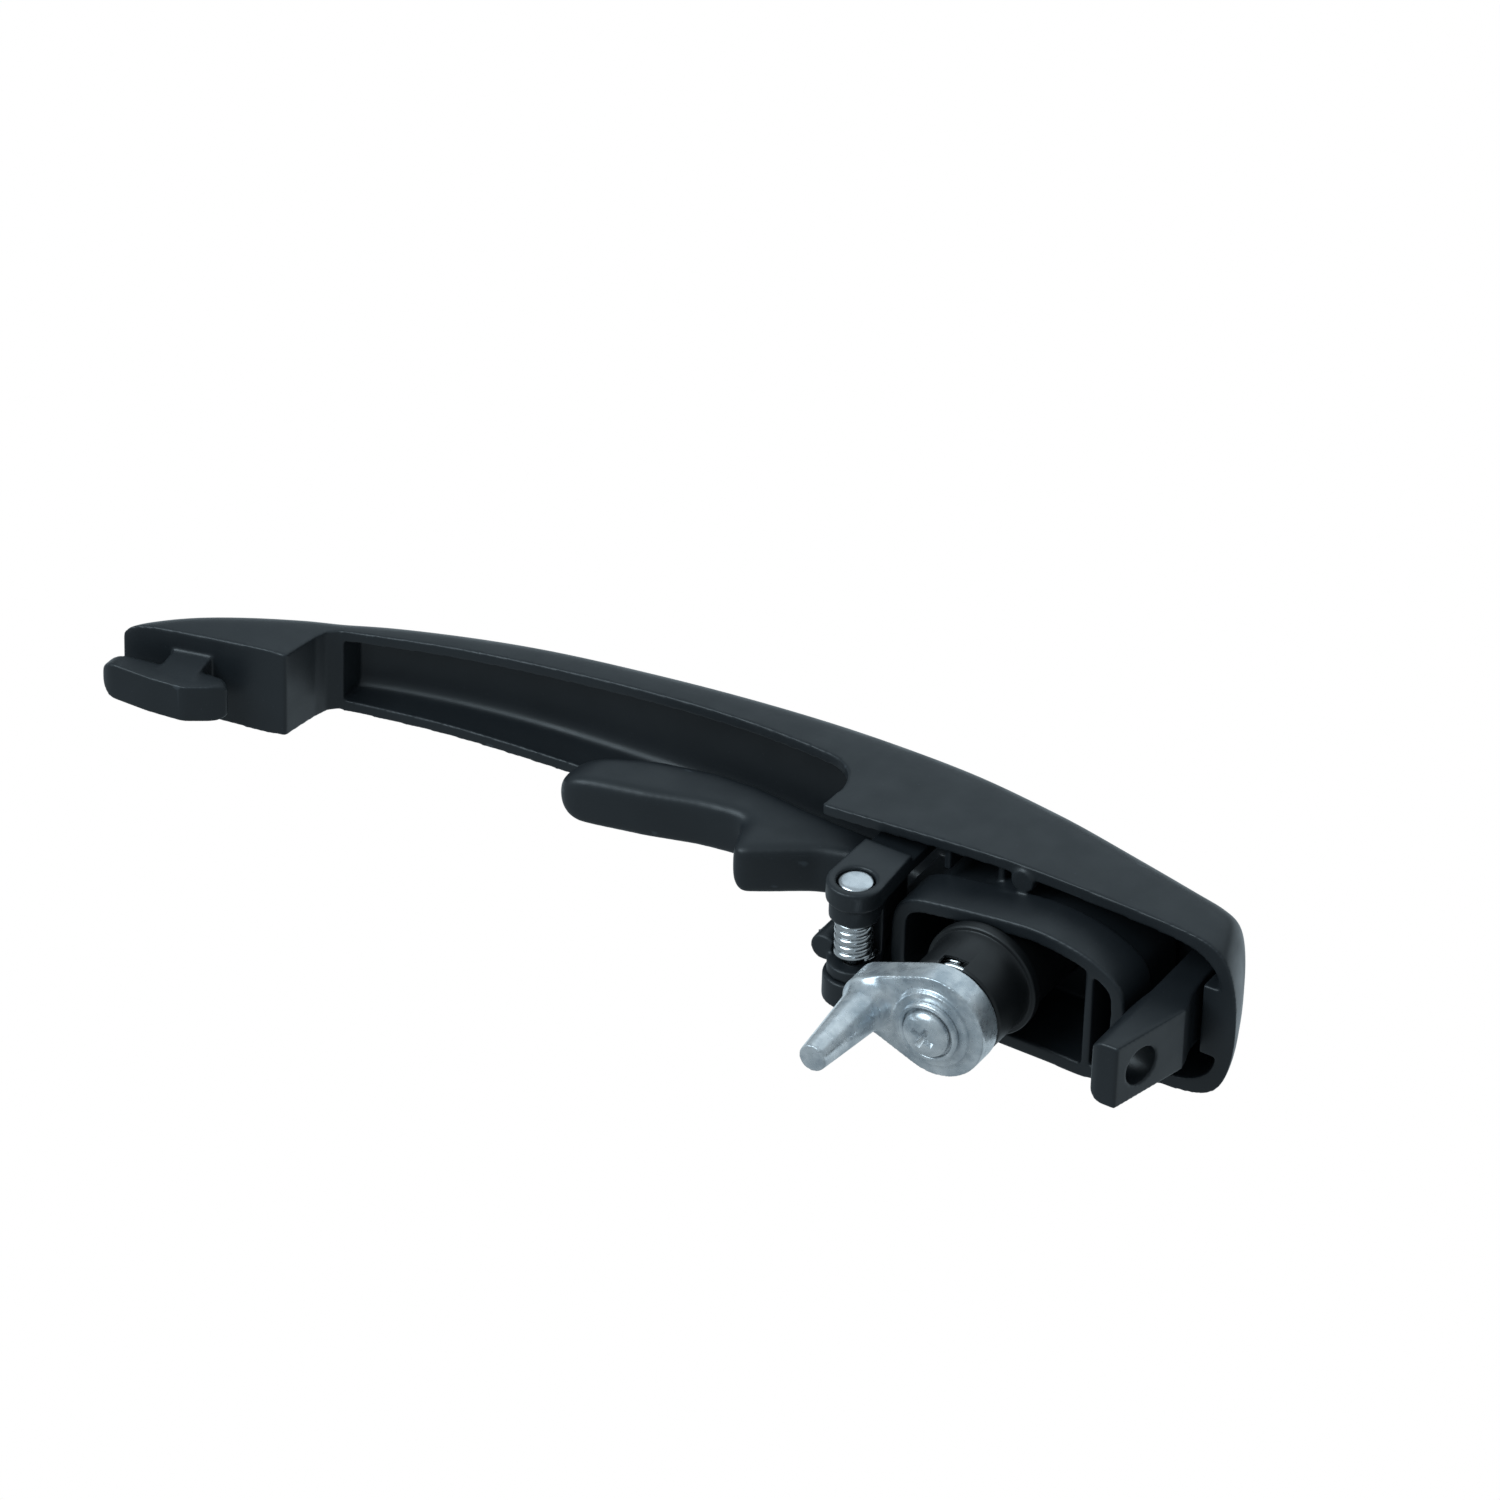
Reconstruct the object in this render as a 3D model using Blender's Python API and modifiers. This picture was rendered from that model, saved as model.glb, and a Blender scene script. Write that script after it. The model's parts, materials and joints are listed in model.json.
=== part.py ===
"""Fixed-bow pull handle for a car door, with a squeeze trigger and a key lock.

Frame: +X runs along the handle towards the lock end, +Y points out of the door, +Z is up.
The origin is the middle of the rear rim wall, on the plane where the rear of the handle seats
on the door skin (y = 0). Sizes below are in millimetres; MM turns them into metres.
"""

import math

import bmesh
import bpy
from mathutils import Matrix, Vector

MM = 0.001
GAP = 0.3                      # air between pieces that touch

# ---- driving dimensions: the one-piece handle body ----
FRONT_X = -227.0               # tip of the front foot
REAR_X = 1.4                   # outer end of the rear rim
WALL = 2.5                     # shell wall
CROWN = 3.4                    # how far the outer face bulges past its top and bottom edges
EDGE_RUN = 7.0                 # how far the rounded edge reaches into the top face
EDGE_POWER = 2.6               # squareness of the rounded edge
BLANK_Y = -24.0                # door-side face of the blank that the plan outline trims
# (x, y) of the outer edge line in plan, from the front foot to the rear end
OUTER_LINE = [(-228, -15.2), (-226.4, -12.0), (-216, -3.2), (-199, 6.0), (-183, 13.4), (-160, 20.2),
              (-134, 24.4), (-112, 26.4), (-90, 26.6), (-68, 24.7), (-46, 20.4), (-25.6, 16.2), (-14, 13.9),
              (-8, 12.8), (-5, 11.5), (-3.2, 8.8), (-1.8, 5.6), (0, 1.6), (1.5, -2.5), (3.5, -9)]
# (x, z) of half the height in side view
HEIGHT_LINE = [(-228, 6.0), (-226.5, 7.5), (-224, 8.2), (-215, 8.8), (-200, 9.3), (-192, 9.0), (-148, 11.3),
               (-116, 13.0), (-84, 15.2), (-47, 18.2), (-29, 18.2), (-14, 17.7), (-8, 17.2), (-4, 16.2),
               (-1, 14.0), (1.6, 10.6), (4.5, 7.0)]
# (x, y) of the grip's door-side edge
GRIP_LINE = [(-192, 5.0), (-187, 6.5), (-170, 10.9), (-148.5, 14.4), (-128, 16.6), (-112, 17.0), (-98, 15.9),
             (-92, 15.0)]
FOOT_FACE = [(-240, -16.3), (-195.5, -7.48)]
GRIP_CORNER = [(-195.0, -3.5), (-194.4, 0.8), (-193.6, 3.4)]
REAR_CORNER_X = -84.3          # where the grip opening meets the rear seat
HOLLOW_START = -191.2          # front end of the hollow behind the outer face
HOLLOW_POWER = 7.0             # squareness of the hollow's section
HOLLOW_CROWN = 2.8             # how far its floor lies past its own edge line

# ---- hook that catches the door skin at the front ----
NECK_X = (-217.5, -209.8)
NECK_HALF_HEIGHT = (5.6, 3.7)  # at the foot and at the head
NECK_Y = (-7.5, -15.5)
HOOK_HALF_HEIGHT = 3.9
HOOK_MIDDLE_Z = -0.5
# (x, y) outline of the hook's head
HOOK_HEAD = [(-228.3, -17.8), (-228.3, -19.8), (-226.0, -21.0), (-217.0, -20.8), (-210.0, -19.9),
             (-205.6, -16.9), (-203.2, -14.4), (-205.0, -13.3), (-209.0, -13.4), (-217.0, -15.5),
             (-224.4, -16.9)]

# ---- trigger pivot ----
PIVOT = (-68.6, -14.0)
EAR_RADIUS = 5.4
UPPER_EAR_Z = (9.4, 13.4)
LOWER_EAR_Z = (-12.2, -6.8)
PIN_HEAD_RADIUS = 3.25
PIN_SHAFT_RADIUS = 1.65
KNUCKLE_RADIUS = 4.7
SPRING_Z = (-4.0, 5.4)
SPRING_RADIUS = 2.8            # to the middle of the wire
SPRING_WIRE = 0.8              # wire radius
SPRING_LEG = 3.0
STOP_RADIUS = 2.7              # rounded stop beside the spring
SPRING_STOP = (-5.9, -3.9)     # its (x from the pivot, z)
PADDLE_HALF_HEIGHT = 5.3

# ---- key lock ----
LOCK_X = -43.4
BARREL_RADIUS = 10.0
BARREL_BORE = 6.9
BARREL_Y = (-22.6, 19.6)
SPRING_COUNTERBORE = 9.4       # room for the centring spring at the barrel's inner end
SPRING_ROOM_DEPTH = 4.0
CENTRING_SPRING_RADIUS = 8.4
CENTRING_SPRING_WIRE = 0.55
FLANGE_Y = (-12.2, -9.9)
FLANGE_RADIUS = 11.2
FLANGE_OFFSET = 1.8
BOSS_RADIUS = 12.6
BOSS_FACE_Y = 22.6
FACE_RECESS_RADIUS = 11.2
FACE_RECESS_Y = 21.4
PLUG_RADIUS = 6.6
PLUG_Y = (-22.9, 20.4)
KEYWAY = (2.6, 8.4)            # width and height of the key slot
WAFER_COUNT = 8
WAFER_PITCH = 2.6
WAFER_SIZE = (8.0, 0.8, 10.0)
FIRST_WAFER_Y = 14.0
CAP_Y = (19.9, 20.7)
SHUTTER_HINGE = (LOCK_X - 1.75, PLUG_Y[1] - 1.7)
SHUTTER_PIN_RADIUS = 0.3
SEAL_RADIUS = 11.6
SEAL_WIDTH = 1.6
SEAL_Y = 15.6
LEVER_SCREW_RADIUS = 1.95
LEVER_SCREW_DEPTH = 9.0        # threaded depth in the plug
LEVER_Y = (-28.6, -23.2)
LEVER_RADIUS = 10.2
CRANK_LENGTH = 13.0
CRANK_PIN_TIP_Y = -48.4

# ---- collar that passes through the door skin round the lock ----
COLLAR_Y = (-9.5, 0.4)
COLLAR_WALL = 2.3
TOWER_STEP = 1.7
COLLAR_RIB_X = (-23.8, -22.2)
TIE_RIBS = [(-58.6, 1.0), (-47.8, 1.5)]    # (x, y of the door-side edge)
# (x, z) of the collar's outline from left to right, above and below the middle
COLLAR_TOP = [(-63.6, 5.0), (-62.3, 8.2), (-58.8, 10.2), (-50, 11.6), (-42, 12.7), (-35, 13.4), (-30, 13.0),
              (-24, 11.8), (-19, 9.4), (-16.6, 7.2), (-15.6, 4.0)]
COLLAR_BOTTOM = [(-63.6, -5.0), (-62.3, -8.2), (-58.8, -10.4), (-50, -12.8), (-42, -14.4), (-30, -14.5),
                 (-22.6, -14.8), (-18.2, -13.2), (-16.2, -10.0), (-15.6, -4.0)]

# ---- screw block for the fixing screw in the door's edge ----
BLOCK_Z = (-7.1, 6.1)
BLOCK_TILT = math.radians(14)  # lean of the screw face from square to X
SCREW_POINT = (-7.6, -17.0)    # middle of the threaded hole on the screw face
SCREW_HOLE_Z = -0.8
SCREW_HOLE_RADIUS = 3.75
SCREW_HOLE_DEPTH = 7.5

ROUND = 48                     # sides of a large round piece
SMALL_ROUND = 24

parts = bpy.data.collections.new("car_door_handle")
cutters = bpy.data.collections.new("cutters")


# ---------------------------------------------------------------- materials
def material(name, colour, roughness, metallic):
    made = bpy.data.materials.new(name)
    made.use_nodes = True
    shader = made.node_tree.nodes["Principled BSDF"]
    shader.inputs["Base Color"].default_value = (*colour, 1.0)
    shader.inputs["Roughness"].default_value = roughness
    shader.inputs["Metallic"].default_value = metallic
    return made


def satin_black():
    return material("satin_black", (0.022, 0.026, 0.030), 0.42, 0.0)


def trigger_black():
    return material("trigger_black", (0.020, 0.023, 0.026), 0.45, 0.0)


def barrel_black():
    return material("barrel_black", (0.016, 0.017, 0.019), 0.38, 0.0)


def zinc_plate():
    return material("zinc_plate", (0.62, 0.66, 0.70), 0.34, 1.0)


def bright_steel():
    return material("bright_steel", (0.66, 0.67, 0.68), 0.24, 1.0)


def spring_steel():
    return material("spring_steel", (0.55, 0.56, 0.58), 0.28, 1.0)


def brass():
    return material("brass", (0.66, 0.50, 0.22), 0.32, 1.0)


def plug_zinc():
    return material("plug_zinc", (0.50, 0.51, 0.53), 0.36, 1.0)


def stainless():
    return material("stainless", (0.60, 0.61, 0.62), 0.22, 1.0)


def seal_rubber():
    return material("seal_rubber", (0.02, 0.02, 0.02), 0.75, 0.0)


# ---------------------------------------------------------------- lines and outlines
def smooth_line(points, x):
    """Height at x of a smooth curve through (x, value) points, by cubic Hermite pieces."""
    x = min(max(x, points[0][0]), points[-1][0])
    index = 0
    while index < len(points) - 2 and x > points[index + 1][0]:
        index += 1
    (x0, y0), (x1, y1) = points[index], points[index + 1]
    before = points[max(index - 1, 0)]
    after = points[min(index + 2, len(points) - 1)]
    slope0 = (y1 - before[1]) / (x1 - before[0])
    slope1 = (after[1] - y0) / (after[0] - x0)
    run = x1 - x0
    t = (x - x0) / run
    return (y0 * (2 * t**3 - 3 * t**2 + 1) + slope0 * run * (t**3 - 2 * t**2 + t)
            + y1 * (3 * t**2 - 2 * t**3) + slope1 * run * (t**3 - t**2))


def spaced(start, end, count):
    return [start + (end - start) * i / (count - 1) for i in range(count)]


def arc(centre, radius, start_deg, end_deg, count):
    angles = [math.radians(a) for a in spaced(start_deg, end_deg, count)]
    return [(centre[0] + radius * math.cos(a), centre[1] + radius * math.sin(a)) for a in angles]


def inset_outline(outline, distance):
    """Move each point of a counter-clockwise outline inwards by distance."""
    moved = []
    count = len(outline)
    for i, point in enumerate(outline):
        ahead = Vector(outline[(i + 1) % count]) - Vector(point)
        behind = Vector(point) - Vector(outline[i - 1])
        tangent = (ahead.normalized() + behind.normalized()).normalized()
        normal = Vector((-tangent.y, tangent.x))
        moved.append(tuple(Vector(point) + normal * distance))
    return moved


# ---------------------------------------------------------------- making objects
def add_object(name, mesh, collection):
    made = bpy.data.objects.new(name, mesh)
    collection.objects.link(made)
    return made


def finish(part, paint, smooth_angle=32):
    """Give a sub-part its material and smooth shading across its rounds."""
    part.data.materials.clear()
    part.data.materials.append(paint)
    part.data.shade_smooth()
    part.data.set_sharp_from_angle(angle=math.radians(smooth_angle))
    return part


def from_bmesh(name, form, collection):
    bmesh.ops.recalc_face_normals(form, faces=form.faces[:])
    mesh = bpy.data.meshes.new(name)
    form.to_mesh(mesh)
    form.free()
    return add_object(name, mesh, collection)


def box(name, low, high, collection=None):
    """A box between two corners given in millimetres."""
    low, high = Vector(low), Vector(high)
    size = (high - low) * MM
    placing = Matrix.Translation((low + high) * 0.5 * MM) @ Matrix.Diagonal((*size, 1.0))
    form = bmesh.new()
    bmesh.ops.create_cube(form, size=1.0, matrix=placing)
    return from_bmesh(name, form, collection or cutters)


def axis_matrix(axis, centre):
    """Placing that turns a piece made round Z so that its axis is X, Y or Z."""
    turns = {"X": Matrix.Rotation(math.radians(90), 4, "Y"), "Y": Matrix.Rotation(math.radians(-90), 4, "X"),
             "Z": Matrix.Identity(4)}
    return Matrix.Translation(Vector(centre) * MM) @ turns[axis]


def cylinder(name, radius, length, centre, axis="Z", top_radius=None, sides=ROUND, collection=None):
    form = bmesh.new()
    end_radius = radius if top_radius is None else top_radius
    bmesh.ops.create_cone(form, cap_ends=True, segments=sides, radius1=radius * MM, radius2=end_radius * MM,
                          depth=length * MM, matrix=axis_matrix(axis, centre))
    return from_bmesh(name, form, collection or cutters)


def plate(name, outline, start, end, plane="XY", collection=None):
    """A flat outline in millimetres, extruded from start to end along the axis it doesn't use."""
    curve = bpy.data.curves.new(name, "CURVE")
    curve.dimensions = "2D"
    curve.fill_mode = "BOTH"
    curve.extrude = (end - start) * 0.5 * MM
    spline = curve.splines.new("POLY")
    spline.points.add(len(outline) - 1)
    for point, (first, second) in zip(spline.points, outline):
        point.co = (first * MM, second * MM, 0.0, 1.0)
    spline.use_cyclic_u = True
    guide = add_object(name + "_outline", curve, cutters)
    middle = (start + end) * 0.5 * MM
    if plane == "XY":
        guide.location = (0.0, 0.0, middle)
    else:
        guide.location = (0.0, middle, 0.0)
        guide.rotation_euler = (math.radians(90), 0.0, 0.0)
    return from_curve(name, guide, collection or cutters)


def from_curve(name, guide, collection):
    """Turn a curve object into a closed mesh object, and remove the curve."""
    bpy.context.view_layer.update()
    graph = bpy.context.evaluated_depsgraph_get()
    mesh = bpy.data.meshes.new_from_object(guide.evaluated_get(graph))
    placing = guide.matrix_world.copy()
    form = bmesh.new()
    form.from_mesh(mesh)
    bmesh.ops.remove_doubles(form, verts=form.verts[:], dist=0.000002)
    form.transform(placing)
    bpy.data.objects.remove(guide, do_unlink=True)
    return from_bmesh(name, form, collection)


def wire(name, route, radius, collection=None, resolution=2):
    """Round wire along a route in millimetres, as a poly curve with filled ends."""
    curve = bpy.data.curves.new(name, "CURVE")
    curve.dimensions = "3D"
    curve.bevel_depth = radius * MM
    curve.bevel_resolution = resolution
    curve.use_fill_caps = True
    spline = curve.splines.new("POLY")
    spline.points.add(len(route) - 1)
    for point, place in zip(spline.points, route):
        point.co = (*(Vector(place) * MM), 1.0)
    guide = add_object(name + "_route", curve, cutters)
    return from_curve(name, guide, collection or parts)


def turned(name, profile, centre, axis="Z", sides=ROUND, collection=None):
    """Turned piece: (radius, height) points from its top down its outer side, closed on the axis."""
    mesh = bpy.data.meshes.new(name)
    points = [(radius * MM, 0.0, height * MM) for radius, height in profile]
    mesh.from_pydata(points, [(i, i + 1) for i in range(len(points) - 1)], [])
    made = add_object(name, mesh, collection or parts)
    screw = made.modifiers.new("turn", "SCREW")
    screw.axis = "Z"
    screw.steps = sides
    screw.render_steps = sides
    screw.use_merge_vertices = True
    screw.merge_threshold = 0.00001
    made.matrix_world = axis_matrix(axis, centre)
    return made


def boolean(target, tool, operation):
    step = target.modifiers.new(tool.name, "BOOLEAN")
    step.operation = operation
    step.object = tool
    step.solver = "EXACT"
    tool.display_type = "WIRE"
    tool.hide_render = True
    return target


def cut(target, tool):
    return boolean(target, tool, "DIFFERENCE")


def join(target, tool):
    return boolean(target, tool, "UNION")


# ---------------------------------------------------------------- handle body
def shell_section(x, inset, power, crown):
    """Closed (y, z) outline at x: flat on the door side, a rounded and crowned edge on the outer side."""
    half = smooth_line(HEIGHT_LINE, x + inset) - inset
    edge = smooth_line(OUTER_LINE, x + inset) - inset
    points = [(BLANK_Y, -half)]
    for angle in spaced(-90, 90, 19):
        turn = math.radians(angle)
        out = abs(math.cos(turn)) ** (2 / power)
        up = abs(math.sin(turn)) ** (2 / power)
        points.append((edge - EDGE_RUN + (EDGE_RUN + crown) * out, math.copysign(half * up, angle)))
    points.append((BLANK_Y, half))
    return points


def loft(name, stations, sections):
    """Solid through (y, z) sections at the given x stations."""
    form = bmesh.new()
    rings = []
    for x, section in zip(stations, sections):
        rings.append([form.verts.new((x * MM, y * MM, z * MM)) for y, z in section])
    for ring, following in zip(rings, rings[1:]):
        count = len(ring)
        for i in range(count):
            form.faces.new((ring[i], ring[(i + 1) % count], following[(i + 1) % count], following[i]))
    form.faces.new(rings[0])
    form.faces.new(rings[-1])
    return from_bmesh(name, form, cutters)


def door_side_outline():
    """Everything on the door side of the handle, as one outline in plan."""
    grip = [(x, smooth_line(GRIP_LINE, x)) for x in spaced(-192, -93, 16)]
    corner = arc((-93.4, 5.6), 9.5, 84, 4, 8)
    rear = [(REAR_CORNER_X, 0.4), (REAR_CORNER_X + 0.4, 0.0), (10, 0.0)]
    return FOOT_FACE + GRIP_CORNER + grip + corner + rear + [(10, -45), (-240, -45)]


def body_blank():
    stations = (spaced(FRONT_X - 0.6, -218, 8) + spaced(-214, -84, 26) + spaced(-79, -12, 12)
                + spaced(-9.5, REAR_X + 0.4, 9))
    body = loft("handle_body", stations, [shell_section(x, 0.0, EDGE_POWER, CROWN) for x in stations])
    cutters.objects.unlink(body)
    parts.objects.link(body)
    return cut(body, plate("door_side", door_side_outline(), -30, 30))


def hollow_shell(body):
    """Hollow the rear half and the grip from the door side."""
    stations = spaced(HOLLOW_START, -12, 32) + spaced(-9.5, REAR_X - WALL, 8)
    sections = [shell_section(x, WALL, HOLLOW_POWER, HOLLOW_CROWN) for x in stations]
    return cut(body, loft("hollow", stations, sections))


def tapered_neck():
    """Short neck that narrows in height from the foot to the hook's head."""
    left, right = NECK_X
    near, far = NECK_Y
    half_near, half_far = NECK_HALF_HEIGHT
    form = bmesh.new()
    bmesh.ops.create_cube(form, size=1.0)
    for corner in form.verts:
        at_foot = corner.co.y > 0
        half = half_near if at_foot else half_far
        corner.co = Vector((right if corner.co.x > 0 else left, near if at_foot else far,
                            math.copysign(half, corner.co.z))) * MM
    return from_bmesh("hook_neck", form, cutters)


def add_hook(body):
    """Neck and T-head that catch behind the door skin, parallel to the foot's face."""
    join(body, tapered_neck())
    head = plate("hook_head", HOOK_HEAD, -10, 10)
    start, end = HOOK_HEAD[0][0], HOOK_HEAD[6][0]
    half, corner = HOOK_HALF_HEIGHT, 2.5
    left = arc((start + half, HOOK_MIDDLE_Z), half, 90, 270, 13)
    low_corner = arc((end - corner, HOOK_MIDDLE_Z - half + corner), corner, 270, 360, 5)
    high_corner = arc((end - corner, HOOK_MIDDLE_Z + half - corner), corner, 0, 90, 5)
    profile = left + low_corner + high_corner
    boolean(head, plate("hook_height", profile, -30, 0, plane="XZ"), "INTERSECT")
    return join(body, head)


def soften(piece, width, segments=2, angle=40):
    step = piece.modifiers.new("rounded_edges", "BEVEL")
    step.width = width * MM
    step.segments = segments
    step.limit_method = "ANGLE"
    step.angle_limit = math.radians(angle)
    step.harden_normals = False
    return piece


def add_ears(body):
    """Two ears carry the pivot pin; they run into the shell's outer wall."""
    px, py = PIVOT
    for name, (low, high), step in (("upper_ear", UPPER_EAR_Z, -1.6), ("lower_ear", LOWER_EAR_Z, 1.6)):
        front = arc(PIVOT, EAR_RADIUS, 180, 360, 14)
        outline = front + [(px + 4.6, -2.0), (px - 5.3, -2.0)]
        ear = plate(name, outline, low, high)
        inner = (low, high + step) if step < 0 else (low + step, high)
        root = [(px - 5.2, -2.6), (px + 4.5, -2.6), (px + 4.5, 24.7), (px - 5.2, 26.2)]
        join(ear, plate(name + "_root", root, *inner))
        join(body, ear)
    return body


def collar_outline():
    return COLLAR_BOTTOM + COLLAR_TOP[::-1]


def add_collar(body):
    """Collar round the lock, on a narrower tower that stands on the outer wall."""
    front, back = COLLAR_Y
    outline = collar_outline()
    collar = plate("collar", outline, front, back, plane="XZ")
    tower = plate("tower", inset_outline(outline, TOWER_STEP), back - 0.5, 12.6, plane="XZ")
    join(body, collar)
    join(body, tower)
    boss_middle = (LOCK_X, (BOSS_FACE_Y - 1.0) / 2, 0)
    join(body, cylinder("lock_boss", BOSS_RADIUS, BOSS_FACE_Y + 1.0, boss_middle, "Y"))
    hollow = plate("collar_hollow", inset_outline(outline, COLLAR_WALL + 0.6), front - 1, 7.5, plane="XZ")
    wall = box("collar_rib", (COLLAR_RIB_X[0], front + 0.1, -16), (COLLAR_RIB_X[1], 7.6, 16))
    cut(hollow, wall)
    return cut(body, hollow)


def add_screw_block(body):
    """Block whose leaning face takes the fixing screw through the door's edge."""
    lean = math.tan(BLOCK_TILT)
    sx, sy = SCREW_POINT
    face = [(sx + lean * (y - sy), y) for y in (-23.4, -6.5)]
    outline = [(-13.2, 15.3), (-13.2, -4.0), (-15.0, -12.0), (-15.0, -21.6), (-14.4, -22.9), (-13.2, -23.4)]
    outline += face + [(-5.4, -4.4), (-6.4, -1.5), (-6.8, 4.0), (-6.8, 13.2)]
    block = plate("screw_block", outline, -12, 12)
    low, high = BLOCK_Z
    left = arc((-11.6, high - 3.4), 3.4, 90, 180, 6) + arc((-11.6, low + 3.4), 3.4, 180, 270, 6)
    profile = left + [(4.0, low), (4.0, high)]
    boolean(block, plate("block_height", profile, -30, 30, plane="XZ"), "INTERSECT")
    join(body, block)
    join(body, cylinder("ejector_peg", 2.3, 9.0, (-42.4, 3.9, 15.2), "Y", sides=SMALL_ROUND))
    join(body, box("rear_pad", (-5.3, 0.0, -7.4), (-1.0, 5.0, 7.4)))
    for x, low_y in TIE_RIBS:
        join(body, box(f"tie_rib_{-x:.0f}", (x - 0.7, low_y, 10.5), (x + 0.7, 12.0, 16.5)))
    length = SCREW_HOLE_DEPTH + 4.0
    hole = cylinder("screw_hole", SCREW_HOLE_RADIUS, length, (0, 0, 0), "X", sides=32)
    middle = Vector((sx, sy, SCREW_HOLE_Z))
    inwards = Vector((-math.cos(BLOCK_TILT), math.sin(BLOCK_TILT), 0.0))
    hole.location = (middle + inwards * (SCREW_HOLE_DEPTH - length / 2)) * MM
    hole.rotation_euler = (0.0, 0.0, -BLOCK_TILT)
    return cut(body, hole)


def bore_body(body):
    """Bores for the pivot pin and the lock barrel."""
    px, py = PIVOT
    cut(body, cylinder("pin_bore", PIN_SHAFT_RADIUS + 0.05, 40, (px, py, 0), sides=SMALL_ROUND))
    cut(body, cylinder("pin_head_bore", PIN_HEAD_RADIUS + 0.3, 6, (px, py, UPPER_EAR_Z[0] + 3.6), sides=32))
    cut(body, cylinder("barrel_bore", BARREL_RADIUS + GAP, 60, (LOCK_X, 10, 0), "Y"))
    cut(body, cylinder("face_recess", FACE_RECESS_RADIUS, 20, (LOCK_X, FACE_RECESS_Y + 10, 0), "Y"))
    groove_width = SEAL_WIDTH + 2 * GAP
    return cut(body, cylinder("seal_groove", SEAL_RADIUS + GAP, groove_width, (LOCK_X, SEAL_Y, 0), "Y"))


def handle_body():
    body = body_blank()
    hollow_shell(body)
    add_ears(body)
    add_collar(body)
    add_screw_block(body)
    add_hook(body)
    bore_body(body)
    return finish(body, satin_black())


# ---------------------------------------------------------------- trigger and its pivot
def trigger_outline():
    """Paddle, nose and arm in plan; the arm ends round the pivot pin."""
    px, py = PIVOT
    tip = arc((-133.0, -1.8), 4.7, 115, 262, 9)
    face = [(-120, -3.0), (-110, 0.2), (-105, 1.2)]
    nose = [(-101.9, 0.0), (-100.2, -3.2)] + arc((-97.1, -5.2), 2.2, 170, 280, 5)
    arm = [(-84.5, 0.4), (px - 4.9, 3.2), (px - 4.6, py + 2)]
    end = arc(PIVOT, KNUCKLE_RADIUS, 170, 370, 13)
    right = [(px + 3.0, -8.0), (px + 1.0, 0.4), (px + 0.6, 4.0), (px - 1.5, 7.2)]
    back = [(px - 7, 9.4), (-92, 10.2), (-104, 11.6), (-113, 11.0), (-124, 8.2)]
    return tip + face + nose + arm + end + right + back


def trigger():
    """Squeeze lever: its arm splits into two knuckles, above and below the spring."""
    lever = plate("trigger", trigger_outline(), -PADDLE_HALF_HEIGHT, PADDLE_HALF_HEIGHT, collection=parts)
    px, py = PIVOT
    knuckle_low, knuckle_high = LOWER_EAR_Z[1] + GAP, UPPER_EAR_Z[0] - GAP
    cheek = arc(PIVOT, KNUCKLE_RADIUS, 180, 360, 12) + [(px + 3.0, -8.0), (px + 1.0, -4.0), (px - 4.5, -4.0)]
    join(lever, plate("knuckles", cheek, knuckle_low, knuckle_high))
    spring_low, spring_high = SPRING_Z
    cut(lever, box("spring_room", (px - 9, py - 9, spring_low - GAP), (px + 9, py + 4.2, spring_high + GAP)))
    stop_middle = (px + SPRING_STOP[0], py + 6.8, SPRING_STOP[1])
    join(lever, cylinder("spring_stop", STOP_RADIUS, 15.0, stop_middle, "Y", sides=SMALL_ROUND))
    cut(lever, cylinder("spring_room_round", 4.1, spring_high - spring_low + 2 * GAP,
                        (px, py, (spring_low + spring_high) / 2)))
    cut(lever, cylinder("knuckle_bore", PIN_SHAFT_RADIUS + 0.12, 40, (px, py, 0), sides=SMALL_ROUND))
    return finish(lever, trigger_black())


def pivot_pin():
    px, py = PIVOT
    top = UPPER_EAR_Z[1] - 0.2
    head_low = UPPER_EAR_Z[0] + 0.9
    bottom = LOWER_EAR_Z[0] - 0.6
    shaft = PIN_SHAFT_RADIUS
    head = PIN_HEAD_RADIUS
    profile = [(0, top), (head - 0.4, top), (head, top - 0.4), (head, head_low), (shaft, head_low),
               (shaft, bottom + 0.5), (shaft - 0.5, bottom), (0, bottom)]
    return finish(turned("pivot_pin", profile, (px, py, 0), sides=32), bright_steel())


def coil(centre, radius, start_z, end_z, turns, start_deg, per_turn=14):
    """Points of a helix round Z."""
    count = int(turns * per_turn) + 1
    route = []
    for i in range(count):
        part = i / (count - 1)
        turn = math.radians(start_deg) + part * turns * 2 * math.pi
        route.append((centre[0] + radius * math.cos(turn), centre[1] + radius * math.sin(turn),
                      start_z + (end_z - start_z) * part))
    return route


def trigger_spring():
    low, high = SPRING_Z[0] + SPRING_WIRE, SPRING_Z[1] - SPRING_WIRE
    route = coil(PIVOT, SPRING_RADIUS, low, high, 4.25, 0)
    first = route[0]
    leg = [(first[0], first[1] + SPRING_LEG, low - 0.1), (first[0], first[1] + SPRING_LEG / 2, low - 0.05)]
    return finish(wire("trigger_spring", leg + route, SPRING_WIRE), spring_steel(), 60)


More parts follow.
